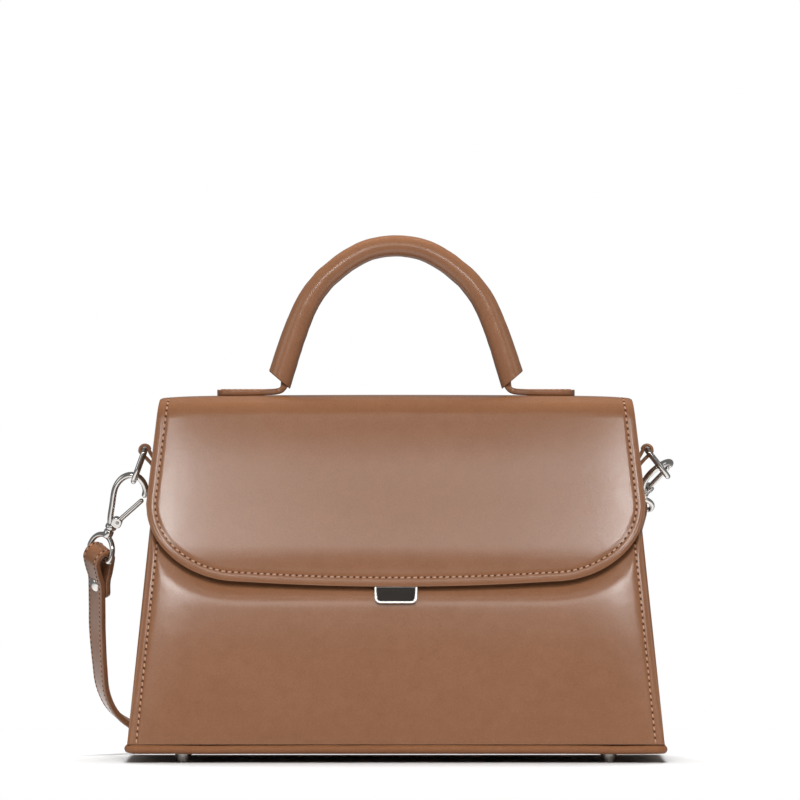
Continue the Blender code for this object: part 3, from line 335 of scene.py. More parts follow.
def cloth(name, dark, light, scale=1500 / 6.3):
    """Plain woven cloth."""
    made = Finish(name)
    weave = made.bands(scale, "X") * 0.5 + made.bands(scale, "Z") * 0.5
    tone = weave * 0.5 + made.cloudy(60, 3) * 0.5
    return made.finish(made.blended(tone, dark, light), 0.82 + weave * 0.1, {
        "Normal": made.bumped(weave, 0.00012),
    })


def plain(name, dark, light, roughness, scale=400, bump=0.00003, gloss=0.5):
    """A matt, slightly uneven finish."""
    made = Finish(name)
    tone = made.cloudy(scale, 3)
    return made.finish(made.blended(tone, dark, light), roughness - 0.04 + tone * 0.08, {
        "Specular IOR Level": gloss, "Normal": made.bumped(tone, bump),
    })


LEATHER = leather("brown_leather", (0.156, 0.0660, 0.0300), (0.204, 0.0900, 0.0430), 0.22)
EDGE = plain("painted_leather_edge", (0.120, 0.050, 0.024), (0.156, 0.067, 0.033), 0.40)
LIP = leather("lip_leather", (0.162, 0.066, 0.029), (0.212, 0.090, 0.041), 0.45, 0.00004, 0.02, 0.15)
# The grip's leather is the brown leather made lighter: painted light for the extra light on the handle.
GRIP_PAINTED_LIGHT = leather("grip_leather_painted_light", (0.178, 0.0770, 0.0360), (0.234, 0.1050, 0.0510), 0.30)
THREAD = plain("tan_thread", (0.330, 0.182, 0.110), (0.440, 0.260, 0.168), 0.55, 2500, 0.00008)
# Near-black beads for the needle holes: painted shade where the holes lie in shadow.
HOLE_SHADE = plain("needle_hole_shade", (0.060, 0.022, 0.012), (0.085, 0.034, 0.019), 0.80, gloss=0.05)
NICKEL = metal("polished_nickel", (0.690, 0.665, 0.630), 0.09)
# Near-black metal for the lock's recessed face: painted shade and dark reflection in the recess, not the
# nickel's own colour.
NICKEL_PAINTED_SHADE = metal("recess_painted_shade", (0.022, 0.019, 0.017), 0.24)
SATIN = metal("satin_nickel", (0.600, 0.580, 0.550), 0.26)
STEEL = metal("plain_steel", (0.420, 0.420, 0.430), 0.34)
LINING = cloth("lining_cloth", (0.200, 0.115, 0.060), (0.300, 0.185, 0.105))
BOARD = plain("stiff_board", (0.160, 0.110, 0.070), (0.240, 0.170, 0.115), 0.85)


# Meshes


def dressed(piece, slot, body=None, *nodes):
    """Hides the CAD nodes that a piece replaces and puts it on the body it rides on; the slot is not used."""
    if nodes:
        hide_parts(*nodes)
    if body:
        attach(piece, body)
    return piece


def finished(bm, name, material, edge=None, sharp=0.7):
    """Makes the mesh an object at the origin, with smooth shading up to a crease."""
    mesh = bpy.data.meshes.new(name)
    bm.to_mesh(mesh)
    bm.free()
    mesh.shade_smooth()
    mesh.set_sharp_from_angle(angle=sharp)
    mesh.materials.append(material)
    if edge:
        mesh.materials.append(edge)
    return shown(name, mesh)


def surface(across, along, place, closed=False, capped=False):
    """A grid whose points go where place(u, v) says, u across and v along, both from 0 to 1."""
    bm = bmesh.new()
    bmesh.ops.create_grid(bm, x_segments=across, y_segments=along, size=1)
    for vert in bm.verts:
        vert.co = place((vert.co.x + 1) / 2, (vert.co.y + 1) / 2)
    if closed:
        bmesh.ops.remove_doubles(bm, verts=bm.verts, dist=0.000001)
    if capped:
        open_edges = [edge for edge in bm.edges if edge.is_boundary]
        bmesh.ops.holes_fill(bm, edges=open_edges, sides=0)
    bmesh.ops.recalc_face_normals(bm, faces=bm.faces)
    return bm


def facing(bm, direction):
    """Turns an open sheet so that it faces this way."""
    bm.normal_update()
    total = sum((face.normal * face.calc_area() for face in bm.faces), Vector())
    if total.dot(Vector(direction)) < 0:
        bmesh.ops.reverse_faces(bm, faces=bm.faces)
    return bm


def round_edges(obj, width, segments=3, angle=0.7):
    rounding = obj.modifiers.new("rounding", "BEVEL")
    rounding.width = width
    rounding.segments = segments
    rounding.limit_method = "ANGLE"
    rounding.angle_limit = angle
    rounding.harden_normals = True
    return obj


def thickened(obj, thickness, rounding=0.0006, rim=1):
    """Gives a sheet its thickness inwards, with painted and rounded edges."""
    shell = obj.modifiers.new("thickness", "SOLIDIFY")
    shell.thickness = thickness
    shell.offset = -1
    shell.use_even_offset = True
    shell.material_offset_rim = rim
    return round_edges(obj, rounding) if rounding else obj


def block(size, rounding, segments, is_rounded):
    """A block, rounded on the edges whose two ends is_rounded(a, b) accepts."""
    bm = bmesh.new()
    bmesh.ops.create_cube(bm, size=1)
    bmesh.ops.scale(bm, vec=size, verts=bm.verts)
    edges = [edge for edge in bm.edges if is_rounded(*(vert.co for vert in edge.verts))]
    bmesh.ops.bevel(
        bm, geom=edges, offset=rounding, segments=segments, profile=0.5, affect="EDGES", material=-1
    )
    return bm


def turned(name, profile, material, place=Matrix.Identity(4), steps=48, sharp=0.7):
    """A profile of (radius, height) points spun round Z."""
    bm = bmesh.new()
    verts = [bm.verts.new((radius, 0, height)) for radius, height in profile]
    edges = [bm.edges.new(pair) for pair in zip(verts, verts[1:])]
    bmesh.ops.spin(
        bm, geom=verts + edges, cent=(0, 0, 0), axis=(0, 0, 1),
        angle=2 * pi, steps=steps, use_merge=True,
    )
    bmesh.ops.remove_doubles(bm, verts=bm.verts, dist=0.000001)
    bmesh.ops.recalc_face_normals(bm, faces=bm.faces)
    bmesh.ops.transform(bm, matrix=place, verts=bm.verts)
    return finished(bm, name, material, sharp=sharp)


def swept(rings, closed=False):
    """A skin over rings that all have the same number of points."""
    rows = len(rings) - (0 if closed else 1)
    count = len(rings[0])

    def place(u, v):
        return rings[round(v * rows) % len(rings)][round(u * count) % count]

    return surface(count, rows, place, closed=True, capped=not closed)


def tube(name, points, radius, closed=False, scales=None, sides=20):
    """A round nickel bar through the points."""
    ways = tangents(points, closed)
    side = Vector((0.123, 0.456, 0.881)).cross(ways[0]).normalized()
    rings = []
    for index, (point, way) in enumerate(zip(points, ways)):
        side = (side - way * side.dot(way)).normalized()
        other = way.cross(side)
        size = radius * (scales[index] if scales else 1)
        turns = [2 * pi * step / sides for step in range(sides)]
        rings.append([point + side * size * cos(turn) + other * size * sin(turn) for turn in turns])
    return finished(swept(rings, closed), name, NICKEL)


def band_section(width, thickness, rounding, crown, corner=3):
    """The outline of a flat strip's section, its faces a little full and its edges rounded."""
    half, deep = width / 2, thickness / 2
    outline = []
    for sign_x, sign_y in ((1, 1), (-1, 1), (-1, -1), (1, -1)):
        steps = range(corner + 1) if sign_x * sign_y > 0 else range(corner, -1, -1)
        for step in steps:
            turn = pi / 2 * step / corner
            x = sign_x * (half - rounding + rounding * cos(turn))
            outline.append((x, sign_y * (deep - rounding + rounding * sin(turn))))
        if sign_x == sign_y:
            for share in (0.6, 0.2, -0.2, -0.6):
                lift = deep + crown * (1 - share ** 2)
                outline.append((half * share * sign_y, sign_y * lift))
    return outline


def strap_ring(point, way, across, outline, share=1.0):
    """A strip's section at a point, share being how wide it is there."""
    normal = way.cross(across).normalized()
    return [point + across * x * share + normal * y for x, y in outline]


def strip(name, points, widths, width, thickness, rounding=0.0007, crown=0.0002):
    """A leather strip along the points, widths giving the way that its width lies at each."""
    outline = band_section(width, thickness, rounding, crown)
    rings = []
    for point, way, across in zip(points, tangents(points), widths):
        rings.append(strap_ring(point, way, (across - way * across.dot(way)).normalized(), outline))
    return finished(swept(rings), name, LEATHER, EDGE, sharp=1.1)


# Stitching: a line of it is a list of (point, normal)

STITCH_PITCH = 0.0033
STITCH_RADIUS = 0.00040
STITCH_SINK = 0.00002
STITCH_SLANT = 0.16
STITCH_INSET = 0.0047
GROOVE_DEPTH = 0.00028
GROOVE_WIDTH = 0.0007
STRAP_STITCH = {"pitch": 0.0030, "radius": 0.00026}
STRAP_STITCH_OUT = 0.0044
STRAP_STITCH_LIFT = 0.00012


def many_beads(places, rings, batch=30):
    """A mesh of small stretched balls, one for each matrix."""
    whole = bmesh.new()
    for first in range(0, len(places), batch):
        some = bmesh.new()
        for place in places[first: first + batch]:
            bmesh.ops.create_uvsphere(some, u_segments=8, v_segments=rings, radius=1, matrix=place)
        mesh = bpy.data.meshes.new("beads")
        some.to_mesh(mesh)
        some.free()
        whole.from_mesh(mesh)
        bpy.data.meshes.remove(mesh)
    return whole


def stitches(name, lines, pitch=STITCH_PITCH, radius=STITCH_RADIUS):
    """The threads along the lines as one piece, and their needle holes as another."""
    threads = []
    holes = []
    thread_size = Matrix.Diagonal((radius, radius * 1.15, pitch * 0.34, 1))
    hole_size = Matrix.Diagonal((radius * 2.0, radius * 1.7, radius * 0.80, 1))
    lying = Matrix.Rotation(pi / 2, 4, "Y")
    for points, normals in (zip(*line) for line in lines):
        for index, share in spots_along(points, pitch, 1, 0.5):
            point = points[index].lerp(points[index + 1], share)
            normal = normals[index].lerp(normals[index + 1], share).normalized()
            way = (points[index + 1] - points[index]).normalized()
            way = (way - normal * way.dot(normal)).normalized()
            side = normal.cross(way)
            along = way * cos(STITCH_SLANT) + side * sin(STITCH_SLANT)
            place = matrix_of(point - normal * STITCH_SINK, along, normal.cross(along), normal)
            threads.append(place @ lying @ thread_size)
            holes.append(matrix_of(point + way * pitch / 2, way, side, normal) @ hole_size)
    sewn = finished(many_beads(threads, 5), name, THREAD)
    # The needle holes are small beads coloured as painted shade.
    pierced = finished(many_beads(holes, 4), f"{name}_holes", HOLE_SHADE)
    return dressed(sewn, "brown_leather"), dressed(pierced, "brown_leather")


def ride_all(pieces, body):
    for piece in pieces:
        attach(piece, body)


# Body

EDGE_STEPS = (0.0, 0.0005, 0.0011, 0.0018, 0.0026, 0.0034, 0.0041, 0.0047, 0.0053, 0.0060, 0.0070, 0.0090)
# How far a front panel stands out, by its share of the height, and how far it falls back under
# the flap, by the distance above where that starts
PANEL_FULL = (
    (0.0, 0.0), (0.10, 0.0011), (0.20, 0.0022), (0.28, 0.0030), (0.34, 0.0035), (0.40, 0.0038),
    (0.43, 0.0039), (0.46, 0.0039), (1.0, 0.0037),
)
PANEL_DIP = ((-1.0, 0.0), (0.0, 0.0), (0.0026, -0.0005), (0.0063, -0.0025), (0.0113, -0.0037), (1.0, -0.0037))
PANEL_DIP_START = 0.0088
PANEL_DIP_EASE = 0.0042
SHARE_EASE = 0.02
BACK_FULL = 0.0014
GUSSET_ABOVE_MOUTH = 0.004
GUSSET_PINCH = 0.0022
# How the flap turns down to its seam, by its share of the run, in shares of the run
FLAP_TURN = ((0.0, 0.0), (0.77, 0.0), (0.83, -0.0027), (0.90, -0.0090), (0.94, -0.0108), (1.0, -0.0108))
LIP_CORNER = 0.006
LIP_ROLL = 0.0021
LIP_HALF_HEIGHT = 0.00225
LIP_MIDDLE = (LIP_LOW + LIP_HIGH) / 2
LIP_STITCH_INSET = 0.0042
FOOT_X = 0.110
FOOT_Y = 0.042
FOOT = (
    (0, 0.0052), (0.0012, 0.0052), (0.0012, 0.0047), (0.0039, 0.0047), (0.0041, 0.0044),
    (0.0040, 0.0041), (0.0028, 0.0009), (0.0024, 0.0003), (0.0018, 0.00005), (0, 0),
)
LINING_LOW = 0.0122
LINING_HIGH = 0.1748
LINING_OFF_GUSSET = 0.0030
LINING_OFF_PANEL = 0.0016
BASE_INSET = 0.012
BASE_THICKNESS = 0.0034


def rise_of(height):
    """How far up the panels a height is, from 0 at the base to 1 at the mouth."""
    return (height - PANEL_LOW) / (MOUTH_HEIGHT - PANEL_LOW)


def half_width(height):
    return PANEL_HALF_WIDTH + (MOUTH_HALF_WIDTH - PANEL_HALF_WIDTH) * rise_of(height)


def half_depth(height):
    return PANEL_HALF_DEPTH + (MOUTH_HALF_DEPTH - PANEL_HALF_DEPTH) * rise_of(height)


def soft_noise(x, y, seed):
    return noise.noise(Vector((x, y, seed)))


def bell(distance, middle, width):
    return exp(-(((distance - middle) / width) ** 2))


def sewn_edge(distance):
    """A sewn edge is rounded off and pulled in at its stitches."""
    return -0.0004 * bell(distance, 0, 0.0007) - GROOVE_DEPTH * bell(distance, STITCH_INSET, GROOVE_WIDTH)


def panel_relief(distance):
    return sewn_edge(distance) + 0.00006 * bell(distance, 0.0026, 0.0012)


def flap_relief(distance):
    crease = -0.00003 * bell(distance, 0.0019, 0.0005)
    return sewn_edge(distance) + crease + 0.00005 * bell(distance, 0.0030, 0.0010)


def between(low, high, count):
    """Places from low to high, close together near both."""
    length = high - low
    inner = length - 2 * EDGE_STEPS[-1]
    middle = [EDGE_STEPS[-1] + inner * step / count for step in range(1, count)]
    ends = [length - step for step in reversed(EDGE_STEPS)]
    return [low + step for step in (*EDGE_STEPS, *middle, *ends)]


def panel_point(x, height, side, lift):
    return Vector((x, side * half_depth(height), height)) + OUTWARD[side] * lift


def along_table(table, at):
    at = min(max(at, table[0][0]), table[-1][0])
    for (a, low), (b, high) in zip(table, table[1:]):
        if at <= b:
            return low + (high - low) * (at - a) / (b - a)
    return table[-1][1]


def eased(table, at, reach, steps=6):
    """A table's mean over a short reach on both sides, which rounds off its corners."""
    spots = [at + reach * (2 * step / steps - 1) for step in range(steps + 1)]
    return sum(along_table(table, spot) for spot in spots) / len(spots)


def side_roll(distance):
    """Leather turns away softly towards its free sides."""
    return -0.0011 * exp(-max(distance, 0) / 0.0095)


def flap_edge_height(x):
    """How high the flap's lower edge hangs in front of the panel, this far from its middle."""
    share = min(max(x - FLAP_FLAT_HALF, 0) / FLAP_CORNER_WIDTH, 1)
    low = FLAP_RUN - FLAP_BOW - FLAP_CORNER_HEIGHT * (1 - sqrt(max(1 - share ** 2, 0)))
    return ROLL_HEIGHT + ROLL_RADIUS * sin(LEAN) - low * cos(LEAN)


def panel_sag(x_share, height, side):
    """The fullness and unevenness of a leather panel, the front's following the flap's edge."""
    rise = rise_of(height)
    if side < 0:
        above = height - flap_edge_height(abs(x_share) * half_width(height)) + PANEL_DIP_START
        full = eased(PANEL_FULL, rise, SHARE_EASE) + eased(PANEL_DIP, above, PANEL_DIP_EASE)
    else:
        full = BACK_FULL * sin(pi * min(max(rise, 0), 1))
    full *= (1 - x_share ** 10) ** 0.6
    return full + 0.00025 * soft_noise(x_share * 2.1, rise * 1.9, 3.3 + side)


def make_panel(name, node, side):
    across = between(-PANEL_HALF_WIDTH, PANEL_HALF_WIDTH, 40)

    def place(u, v):
        height = PANEL_LOW + (MOUTH_HEIGHT - PANEL_LOW) * v
        share = picked(across, u) / PANEL_HALF_WIDTH
        edge = (1 - abs(share)) * half_width(height)
        lift = panel_sag(share, height, side) + panel_relief(edge)
        return panel_point(half_width(height) * share, height, side, lift)

    panel = finished(facing(surface(len(across) - 1, 110, place), (0, side, 0)), name, LEATHER, EDGE)
    dressed(thickened(panel, PANEL_THICKNESS), "brown_leather", "bag", node)


def panel_stitch_line(side, across):
    line = []
    for step in range(61):
        height = PANEL_LOW + 0.0002 + (MOUTH_HEIGHT - PANEL_LOW - 0.0020) * step / 60
        share = 1 - STITCH_INSET / half_width(height)
        lift = panel_sag(share, height, side) - GROOVE_DEPTH
        line.append((panel_point(across * share * half_width(height), height, side, lift), OUTWARD[side]))
    return line


def make_gusset(name, node, side):
    """A gusset is pinched in along its middle, more so towards the mouth."""
    def place(u, v):
        y_share = 2 * u - 1
        height = PANEL_LOW + (MOUTH_HEIGHT + GUSSET_ABOVE_MOUTH - PANEL_LOW) * v
        rise = rise_of(height)
        pinch = sin(pi * min(rise, 1) * 0.92) ** 1.4 * (1 - abs(y_share) ** 1.6) ** 1.2
        fold = 0.0010 * bell(y_share, 0, 0.16) * min(rise * 2, 1)
        uneven = 0.00035 * soft_noise(y_share * 2.5, rise * 3.1, 8.1 + side) * (1 - y_share ** 4)
        x = half_width(height) - GUSSET_INSET - GUSSET_PINCH * pinch - fold + uneven
        return Vector((side * x, y_share * (half_depth(height) - PANEL_THICKNESS - GAP), height))

    gusset = finished(facing(surface(40, 70, place), (side, 0, 0)), name, LEATHER, EDGE)
    dressed(thickened(gusset, GUSSET_THICKNESS), "brown_leather", "bag", node)


def lip_wave(x):
    corner = 0.0007 * exp(-max(BASE_WIDTH / 2 - abs(x), 0) / 0.012)
    return 0.0011 * soft_noise(x * 11, 0.4, 5.0) + 0.0004 * soft_noise(x * 42, 1.4, 2.0) + corner


def rounded_outline(half_x, half_y, corner, steps=10, spacing=0.004):
    """Points round a rectangle with round corners, from the front's left end."""
    points = []
    centres = ((-1, -1, pi), (1, -1, 1.5 * pi), (1, 1, 0), (-1, 1, pi / 2))
    for across, along, start in centres:
        centre = Vector((across * (half_x - corner), along * (half_y - corner), 0))
        for step in range(steps + 1):
            turn = start + pi / 2 * step / steps
            points.append(centre + Vector((cos(turn), sin(turn), 0)) * corner)
    points.append(points[0])
    dense = []
    for a, b in zip(points, points[1:]):
        count = max(1, round((b - a).length / spacing))
        dense += [a.lerp(b, step / count) for step in range(count)]
    return dense


def make_base():
    """The base with its rolled lip, sewn all round underneath."""
    turns = [pi * (step / 12 - 0.5) for step in range(13)]
    section = [(LIP_ROLL * cos(turn) - LIP_ROLL, LIP_HALF_HEIGHT * sin(turn)) for turn in turns]
    section += [(-0.006, 0.00225), (-0.0075, 0.0018), (-0.0075, -0.0018), (-0.006, -0.00225)]
    outline = rounded_outline(BASE_WIDTH / 2, BASE_DEPTH / 2, LIP_CORNER)
    rings = []
    for point, way in zip(outline, tangents(outline, closed=True)):
        out = way.cross(Z_AXIS)
        middle = LIP_MIDDLE + lip_wave(point.x + point.y * 0.5) * 0.5
        rings.append([point + out * a + Z_AXIS * (middle + b * 0.98) for a, b in section])
    lip = finished(swept(rings, closed=True), "base_lip", LIP, sharp=1.2)
    dressed(lip, "brown_leather", "bag")

    size = (BASE_WIDTH - BASE_INSET, BASE_DEPTH - BASE_INSET, BASE_THICKNESS)
    bm = block(size, 0.004, 6, lambda a, b: abs((a - b).z) > 0.001)
    bmesh.ops.translate(bm, vec=(0, 0, LIP_MIDDLE), verts=bm.verts)
    floor = round_edges(finished(bm, "base_leather", LEATHER), 0.0006)
    dressed(floor, "brown_leather", "bag", "base_panel")
    half_x, half_y = BASE_WIDTH / 2 - LIP_STITCH_INSET, BASE_DEPTH / 2 - LIP_STITCH_INSET
    inner = rounded_outline(half_x, half_y, LIP_CORNER - 0.002)
    line = [(point + Z_AXIS * (LIP_LOW + 0.0001), -Z_AXIS) for point in (*inner, inner[0])]
    ride_all(stitches("base_stitches", [line]), "bag")


def make_feet():
    for index, (across, along) in enumerate(((-1, -1), (-1, 1), (1, -1), (1, 1))):
        place = Matrix.Translation((across * FOOT_X, along * FOOT_Y, 0))
        foot = turned(f"metal_foot_{index + 1}", FOOT, SATIN, place)
        dressed(foot, "nickel", "bag", f"foot_{index + 1}")


def make_lining():
    """A bag of cloth, a little loose between its corners."""
    def place(u, v):
        height = LINING_LOW + (LINING_HIGH - LINING_LOW) * v
        x = half_width(height) - GUSSET_INSET - GUSSET_THICKNESS - LINING_OFF_GUSSET
        y = half_depth(height) - PANEL_THICKNESS - LINING_OFF_PANEL
        corners = ((-x, -y), (x, -y), (x, y), (-x, y), (-x, -y))
        side = min(int(u * 4), 3)
        share = u * 4 - side
        point = Vector(corners[side]).lerp(Vector(corners[side + 1]), share)
        loose = 0.0003 + abs(0.0005 * soft_noise(u * 7, v * 4, 1.7))
        inward = -point.normalized() * loose * sin(pi * share)
        return Vector((point.x + inward.x, point.y + inward.y, height))

    bm = surface(96, 40, place, closed=True)
    low = [edge for edge in bm.edges if edge.is_boundary and edge.verts[0].co.z < 0.02]
    bmesh.ops.holes_fill(bm, edges=low, sides=0)
    bmesh.ops.recalc_face_normals(bm, faces=bm.faces)
    lining = thickened(finished(bm, "sewn_lining", LINING), 0.0006, 0, 0)
    dressed(lining, "lining_cloth", "bag", "lining")


make_panel("front_leather", "front_panel", -1)
make_panel("back_leather", "back_panel", 1)
make_gusset("left_gusset_leather", "left_gusset", -1)
make_gusset("right_gusset_leather", "right_gusset", 1)
make_base()
make_feet()
make_lining()
PANEL_LINES = [panel_stitch_line(side, across) for side in (-1, 1) for across in (-1, 1)]
ride_all(stitches("panel_stitches", PANEL_LINES), "bag")


# Flap: down is the distance from the middle of the top, past the distance below the roll

FLAT_SHARE = 0.62
FLAP_EDGE_ROUNDING = 0.0007
FLAP_BEND = 0.34
FLAP_STAND_OFF = 0.0016


def top_crown(x, down):
    """The top is a little full along its middle."""
    if down >= FOLD_Y:
        return 0.0
    return 0.0007 * (1 - (x / 0.121) ** 2) * (1 - min(abs(down) / 0.02, 1) ** 2)


def flap_place(x, down, side):
    """A point on the flap's outer face, and which way the face looks there."""
    if down < FOLD_Y:
        return Vector((x, side * down, BAG_HEIGHT)), Z_AXIS
    turn = min((down - FOLD_Y) / ROLL_RADIUS, ROLL_SWEEP)
    normal = Vector((0, side * sin(turn), cos(turn)))
    slope = Vector((0, side * cos(turn), -sin(turn)))
    centre = Vector((x, side * FOLD_Y, ROLL_HEIGHT))
    return centre + normal * ROLL_RADIUS + slope * max(down - ROLL_END, 0), normal


def flap_half(past):
    """Half the flap's width, before its round corners."""
    if past < 0:
        share = max(min(1 + past / ROLL_LENGTH, 1), 0)
        return (FLAP_TOP_WIDTH + (FLAP_ROLL_WIDTH - FLAP_TOP_WIDTH) * share) / 2
    share = min(past / FLAP_STRAIGHT, 1)
    return (FLAP_ROLL_WIDTH + (FLAP_WIDTH - FLAP_ROLL_WIDTH) * share) / 2


def flap_corner(turn):
    """(x, past) on the flap's round corner, turn from 0 at its low end to a right angle."""
    return FLAP_FLAT_HALF + FLAP_CORNER_WIDTH * sin(turn), FLAP_STRAIGHT + FLAP_CORNER_HEIGHT * cos(turn)


def flap_column(across):
    """(share of the half width, how far down it goes) of one line down the flap."""
    size = abs(across)
    if size <= FLAT_SHARE:
        x = FLAP_FLAT_HALF * size / FLAT_SHARE
        low = FLAP_RUN - FLAP_BOW * (x / FLAP_FLAT_HALF) ** 2
    else:
        x, low = flap_corner(pi / 2 * (size - FLAT_SHARE) / (1 - FLAT_SHARE))
    return copysign(x / (FLAP_WIDTH / 2), across), low


def edge_distance(x, past):
    """How far a point on the flap is from its free edge."""
    if past <= FLAP_STRAIGHT:
        return flap_half(past) - abs(x)
    if abs(x) <= FLAP_FLAT_HALF:
        return FLAP_RUN - FLAP_BOW * (x / FLAP_FLAT_HALF) ** 2 - past
    across = (abs(x) - FLAP_FLAT_HALF) / FLAP_CORNER_WIDTH
    along = (past - FLAP_STRAIGHT) / FLAP_CORNER_HEIGHT
    reach = max(hypot(across, along), 0.001)
    return (1 - reach) * reach / hypot(across / FLAP_CORNER_WIDTH, along / FLAP_CORNER_HEIGHT)


def flap_belly(share):
    """How full the flap is, down its length: bent at the top, nearly flat, then down to its seam."""
    top = 0.095 * FLAP_BEND / 2.4 * (1 - max(1 - share / FLAP_BEND, 0) ** 2.4)
    return FLAP_RUN * (top + eased(FLAP_TURN, share, SHARE_EASE))


def flap_sag(x, past, down):
    """The flap's slight belly, its ripple, and how far its lower edge stands off the bag."""
    rolled = side_roll(flap_half(past) - abs(x))
    if past < 0:
        return rolled + top_crown(x, down)
    share = min(past / FLAP_RUN, 1)
    wide = max(1 - (abs(x) / (FLAP_WIDTH / 2)) ** 2, 0)
    ripple = 0.00022 * soft_noise(x * 16, past * 16, 6.2) * min(share * 3, 1)
    stand_off = FLAP_STAND_OFF * share * share * (3 - 2 * share)
    return flap_belly(share) * wide ** 0.5 + rolled + ripple + stand_off


def flap_sheet(name, columns, rows, place, towards):
    sheet = facing(surface(columns, rows, place), towards)
    return thickened(finished(sheet, name, LEATHER, EDGE, sharp=1.0), FLAP_THICKNESS, FLAP_EDGE_ROUNDING)


def make_flap_front():
    """The flap's leather from the middle of the top over the roll to its lower edge."""
    near = []
    for inset in EDGE_STEPS:
        turn = asin(1 - inset / FLAP_CORNER_WIDTH)
        near.append(FLAT_SHARE + (1 - FLAT_SHARE) * turn / (pi / 2))
    half = sorted([near[-1] * step / 42 for step in range(42)] + near)
    columns = [-share for share in reversed(half[1:])] + half
    above = [FOLD_Y * step / 8 for step in range(8)]
    above += [FOLD_Y + ROLL_LENGTH * step / 14 for step in range(14)]
    shares = [step / 46 for step in range(46)]
    last = len(above) + len(shares) + len(EDGE_STEPS) - 1

    def place(u, v):
        index = round(v * last)
        width, low = flap_column(picked(columns, u))
        if index < len(above):
            down = above[index]
            past = down - ROLL_END
        else:
            index -= len(above)
            if index < len(shares):
                past = (low - EDGE_STEPS[-1]) * shares[index]
            else:
                past = low - EDGE_STEPS[len(shares) - index - 1]
            down = past + ROLL_END
        x = flap_half(past) * width
        point, normal = flap_place(x, down, -1)
        return point + normal * (flap_sag(x, past, down) + flap_relief(edge_distance(x, past)))

    flap = flap_sheet("flap_leather", len(columns) - 1, last, place, (0, -1, 1))
    return dressed(flap, "brown_leather", None, "flap_front")


def make_flap_back():
    """The flap's leather from the middle of the top down to where it is sewn to the back."""
    run = ROLL_END + ANCHOR_RUN
    across = between(-FLAP_ROLL_WIDTH / 2, FLAP_ROLL_WIDTH / 2, 40)

    def place(u, v):
        x = picked(across, u)
        down = run * v
        share = x / (FLAP_ROLL_WIDTH / 2)
        half = flap_half(min(down - ROLL_END, 0))
        point, normal = flap_place(half * share, down, 1)
        from_side = (1 - abs(share)) * half
        relief = flap_relief(min(from_side, run - down))
        return point + normal * (side_roll(from_side) + top_crown(x, down) + relief)

    leg = flap_sheet("flap_back_leather", len(across) - 1, 90, place, (0, 1, 1))
    return dressed(leg, "brown_leather", None, "flap_anchor", "flap_top")


def make_flap_lining():
    def place(u, v):
        width, low = flap_column(2 * u - 1)
        past = (low - 0.0035 + ROLL_LENGTH) * v - ROLL_LENGTH
        x = (flap_half(past) - 0.0032) * width
        point, normal = flap_place(x, past + ROLL_END, -1)
        return point + normal * (flap_sag(x, past, FOLD_Y) - FLAP_THICKNESS - 0.0002)

    bm = facing(surface(90, 60, place), (0, -1, 1))
    lining = thickened(finished(bm, "flap_inner_leather", LINING), 0.0007, 0, 0)
    return dressed(lining, "lining_cloth", None, "flap_lining")


def flap_stitch_line():
    """A line a stitch's inset inside the flap's free edge, from its left side to its right."""
    top = 0.001 - ROLL_END
    half = []
    for step in range(40):
        past = top + (FLAP_STRAIGHT - top) * step / 40
        half.append((-flap_half(past), past))
    for step in range(40):
        x, past = flap_corner(pi / 2 * (1 - step / 40))
        half.append((-x, past))
    shares = [step / 30 - 1 for step in range(1, 60)]
    bottom = [(FLAP_FLAT_HALF * share, FLAP_RUN - FLAP_BOW * share ** 2) for share in shares]
    mirrored = [(-x, past) for x, past in reversed(half)]
    edge = [Vector(point) for point in half + bottom + mirrored]
    line = []
    for point, way in zip(edge, tangents(edge)):
        x, past = point + Vector((way.y, -way.x)) * STITCH_INSET
        down = past + ROLL_END
        point, normal = flap_place(x, max(down, 0), -1)
        line.append((point + normal * (flap_sag(x, past, down) - GROOVE_DEPTH), normal))
    return line


def back_stitch_lines():
    """Down both sides of the flap's rear leg and along its low edge."""
    low = ROLL_END + ANCHOR_RUN - STITCH_INSET
    lines = []
    for sign in (-1, 1):
        line = []
        for step in range(50):
            down = low * step / 49
            x = flap_half(min(down - ROLL_END, 0)) - STITCH_INSET
            point, normal = flap_place(sign * x, down, 1)
            line.append((point + normal * (side_roll(STITCH_INSET) - GROOVE_DEPTH), normal))
        lines.append(line)
    (a, normal), (b, _) = (line[-1] for line in lines)
    seam = []
    for step in range(41):
        near = min(step, 40 - step) / 40 * (b - a).length
        lift = side_roll(STITCH_INSET + near) - side_roll(STITCH_INSET)
        seam.append((a.lerp(b, step / 40) + normal * lift, normal))
    return [*lines, seam]


for piece in (make_flap_front(), make_flap_lining(), *stitches("flap_stitches", [flap_stitch_line()])):
    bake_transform(piece)
for piece in (make_flap_back(), *stitches("flap_back_stitches", back_stitch_lines())):
    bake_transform(piece)


# Handle

HANDLE_HALF_SPAN = 0.0607
HANDLE_RISE = 0.0783
GRIP_TOP_RADIUS = 0.0056
GRIP_END_RADIUS = 0.0067
GRIP_SLANT = 0.0028
HANDLE_ARCH = (
    (0.0, 1.0), (0.22, 0.976), (0.405, 0.906), (0.54, 0.826),
    (0.633, 0.759), (0.761, 0.618), (0.88, 0.396), (1.0, 0.107),
)
TAB_OUT = 0.0931
TAB_WIDTH = 0.020
TAB_THICKNESS = 0.0030
TAB_CORNER = 0.0085
TAB_LOW = BAG_HEIGHT + GAP
NECK_HALF_WIDTH = 0.0042
NECK_START = 0.0720
NECK_RUN = 0.0120
# The neck's way from the tab's end up into the grip, as (distance from the middle, rise)
NECK = (
    (TAB_OUT, 0.0), (0.0860, 0.0), (0.0760, 0.0001), (0.0680, 0.0003), (0.0625, 0.0006),
    (0.0594, 0.0017), (0.0580, 0.0044), (0.0574, 0.0080), (0.0568, 0.0120),
)


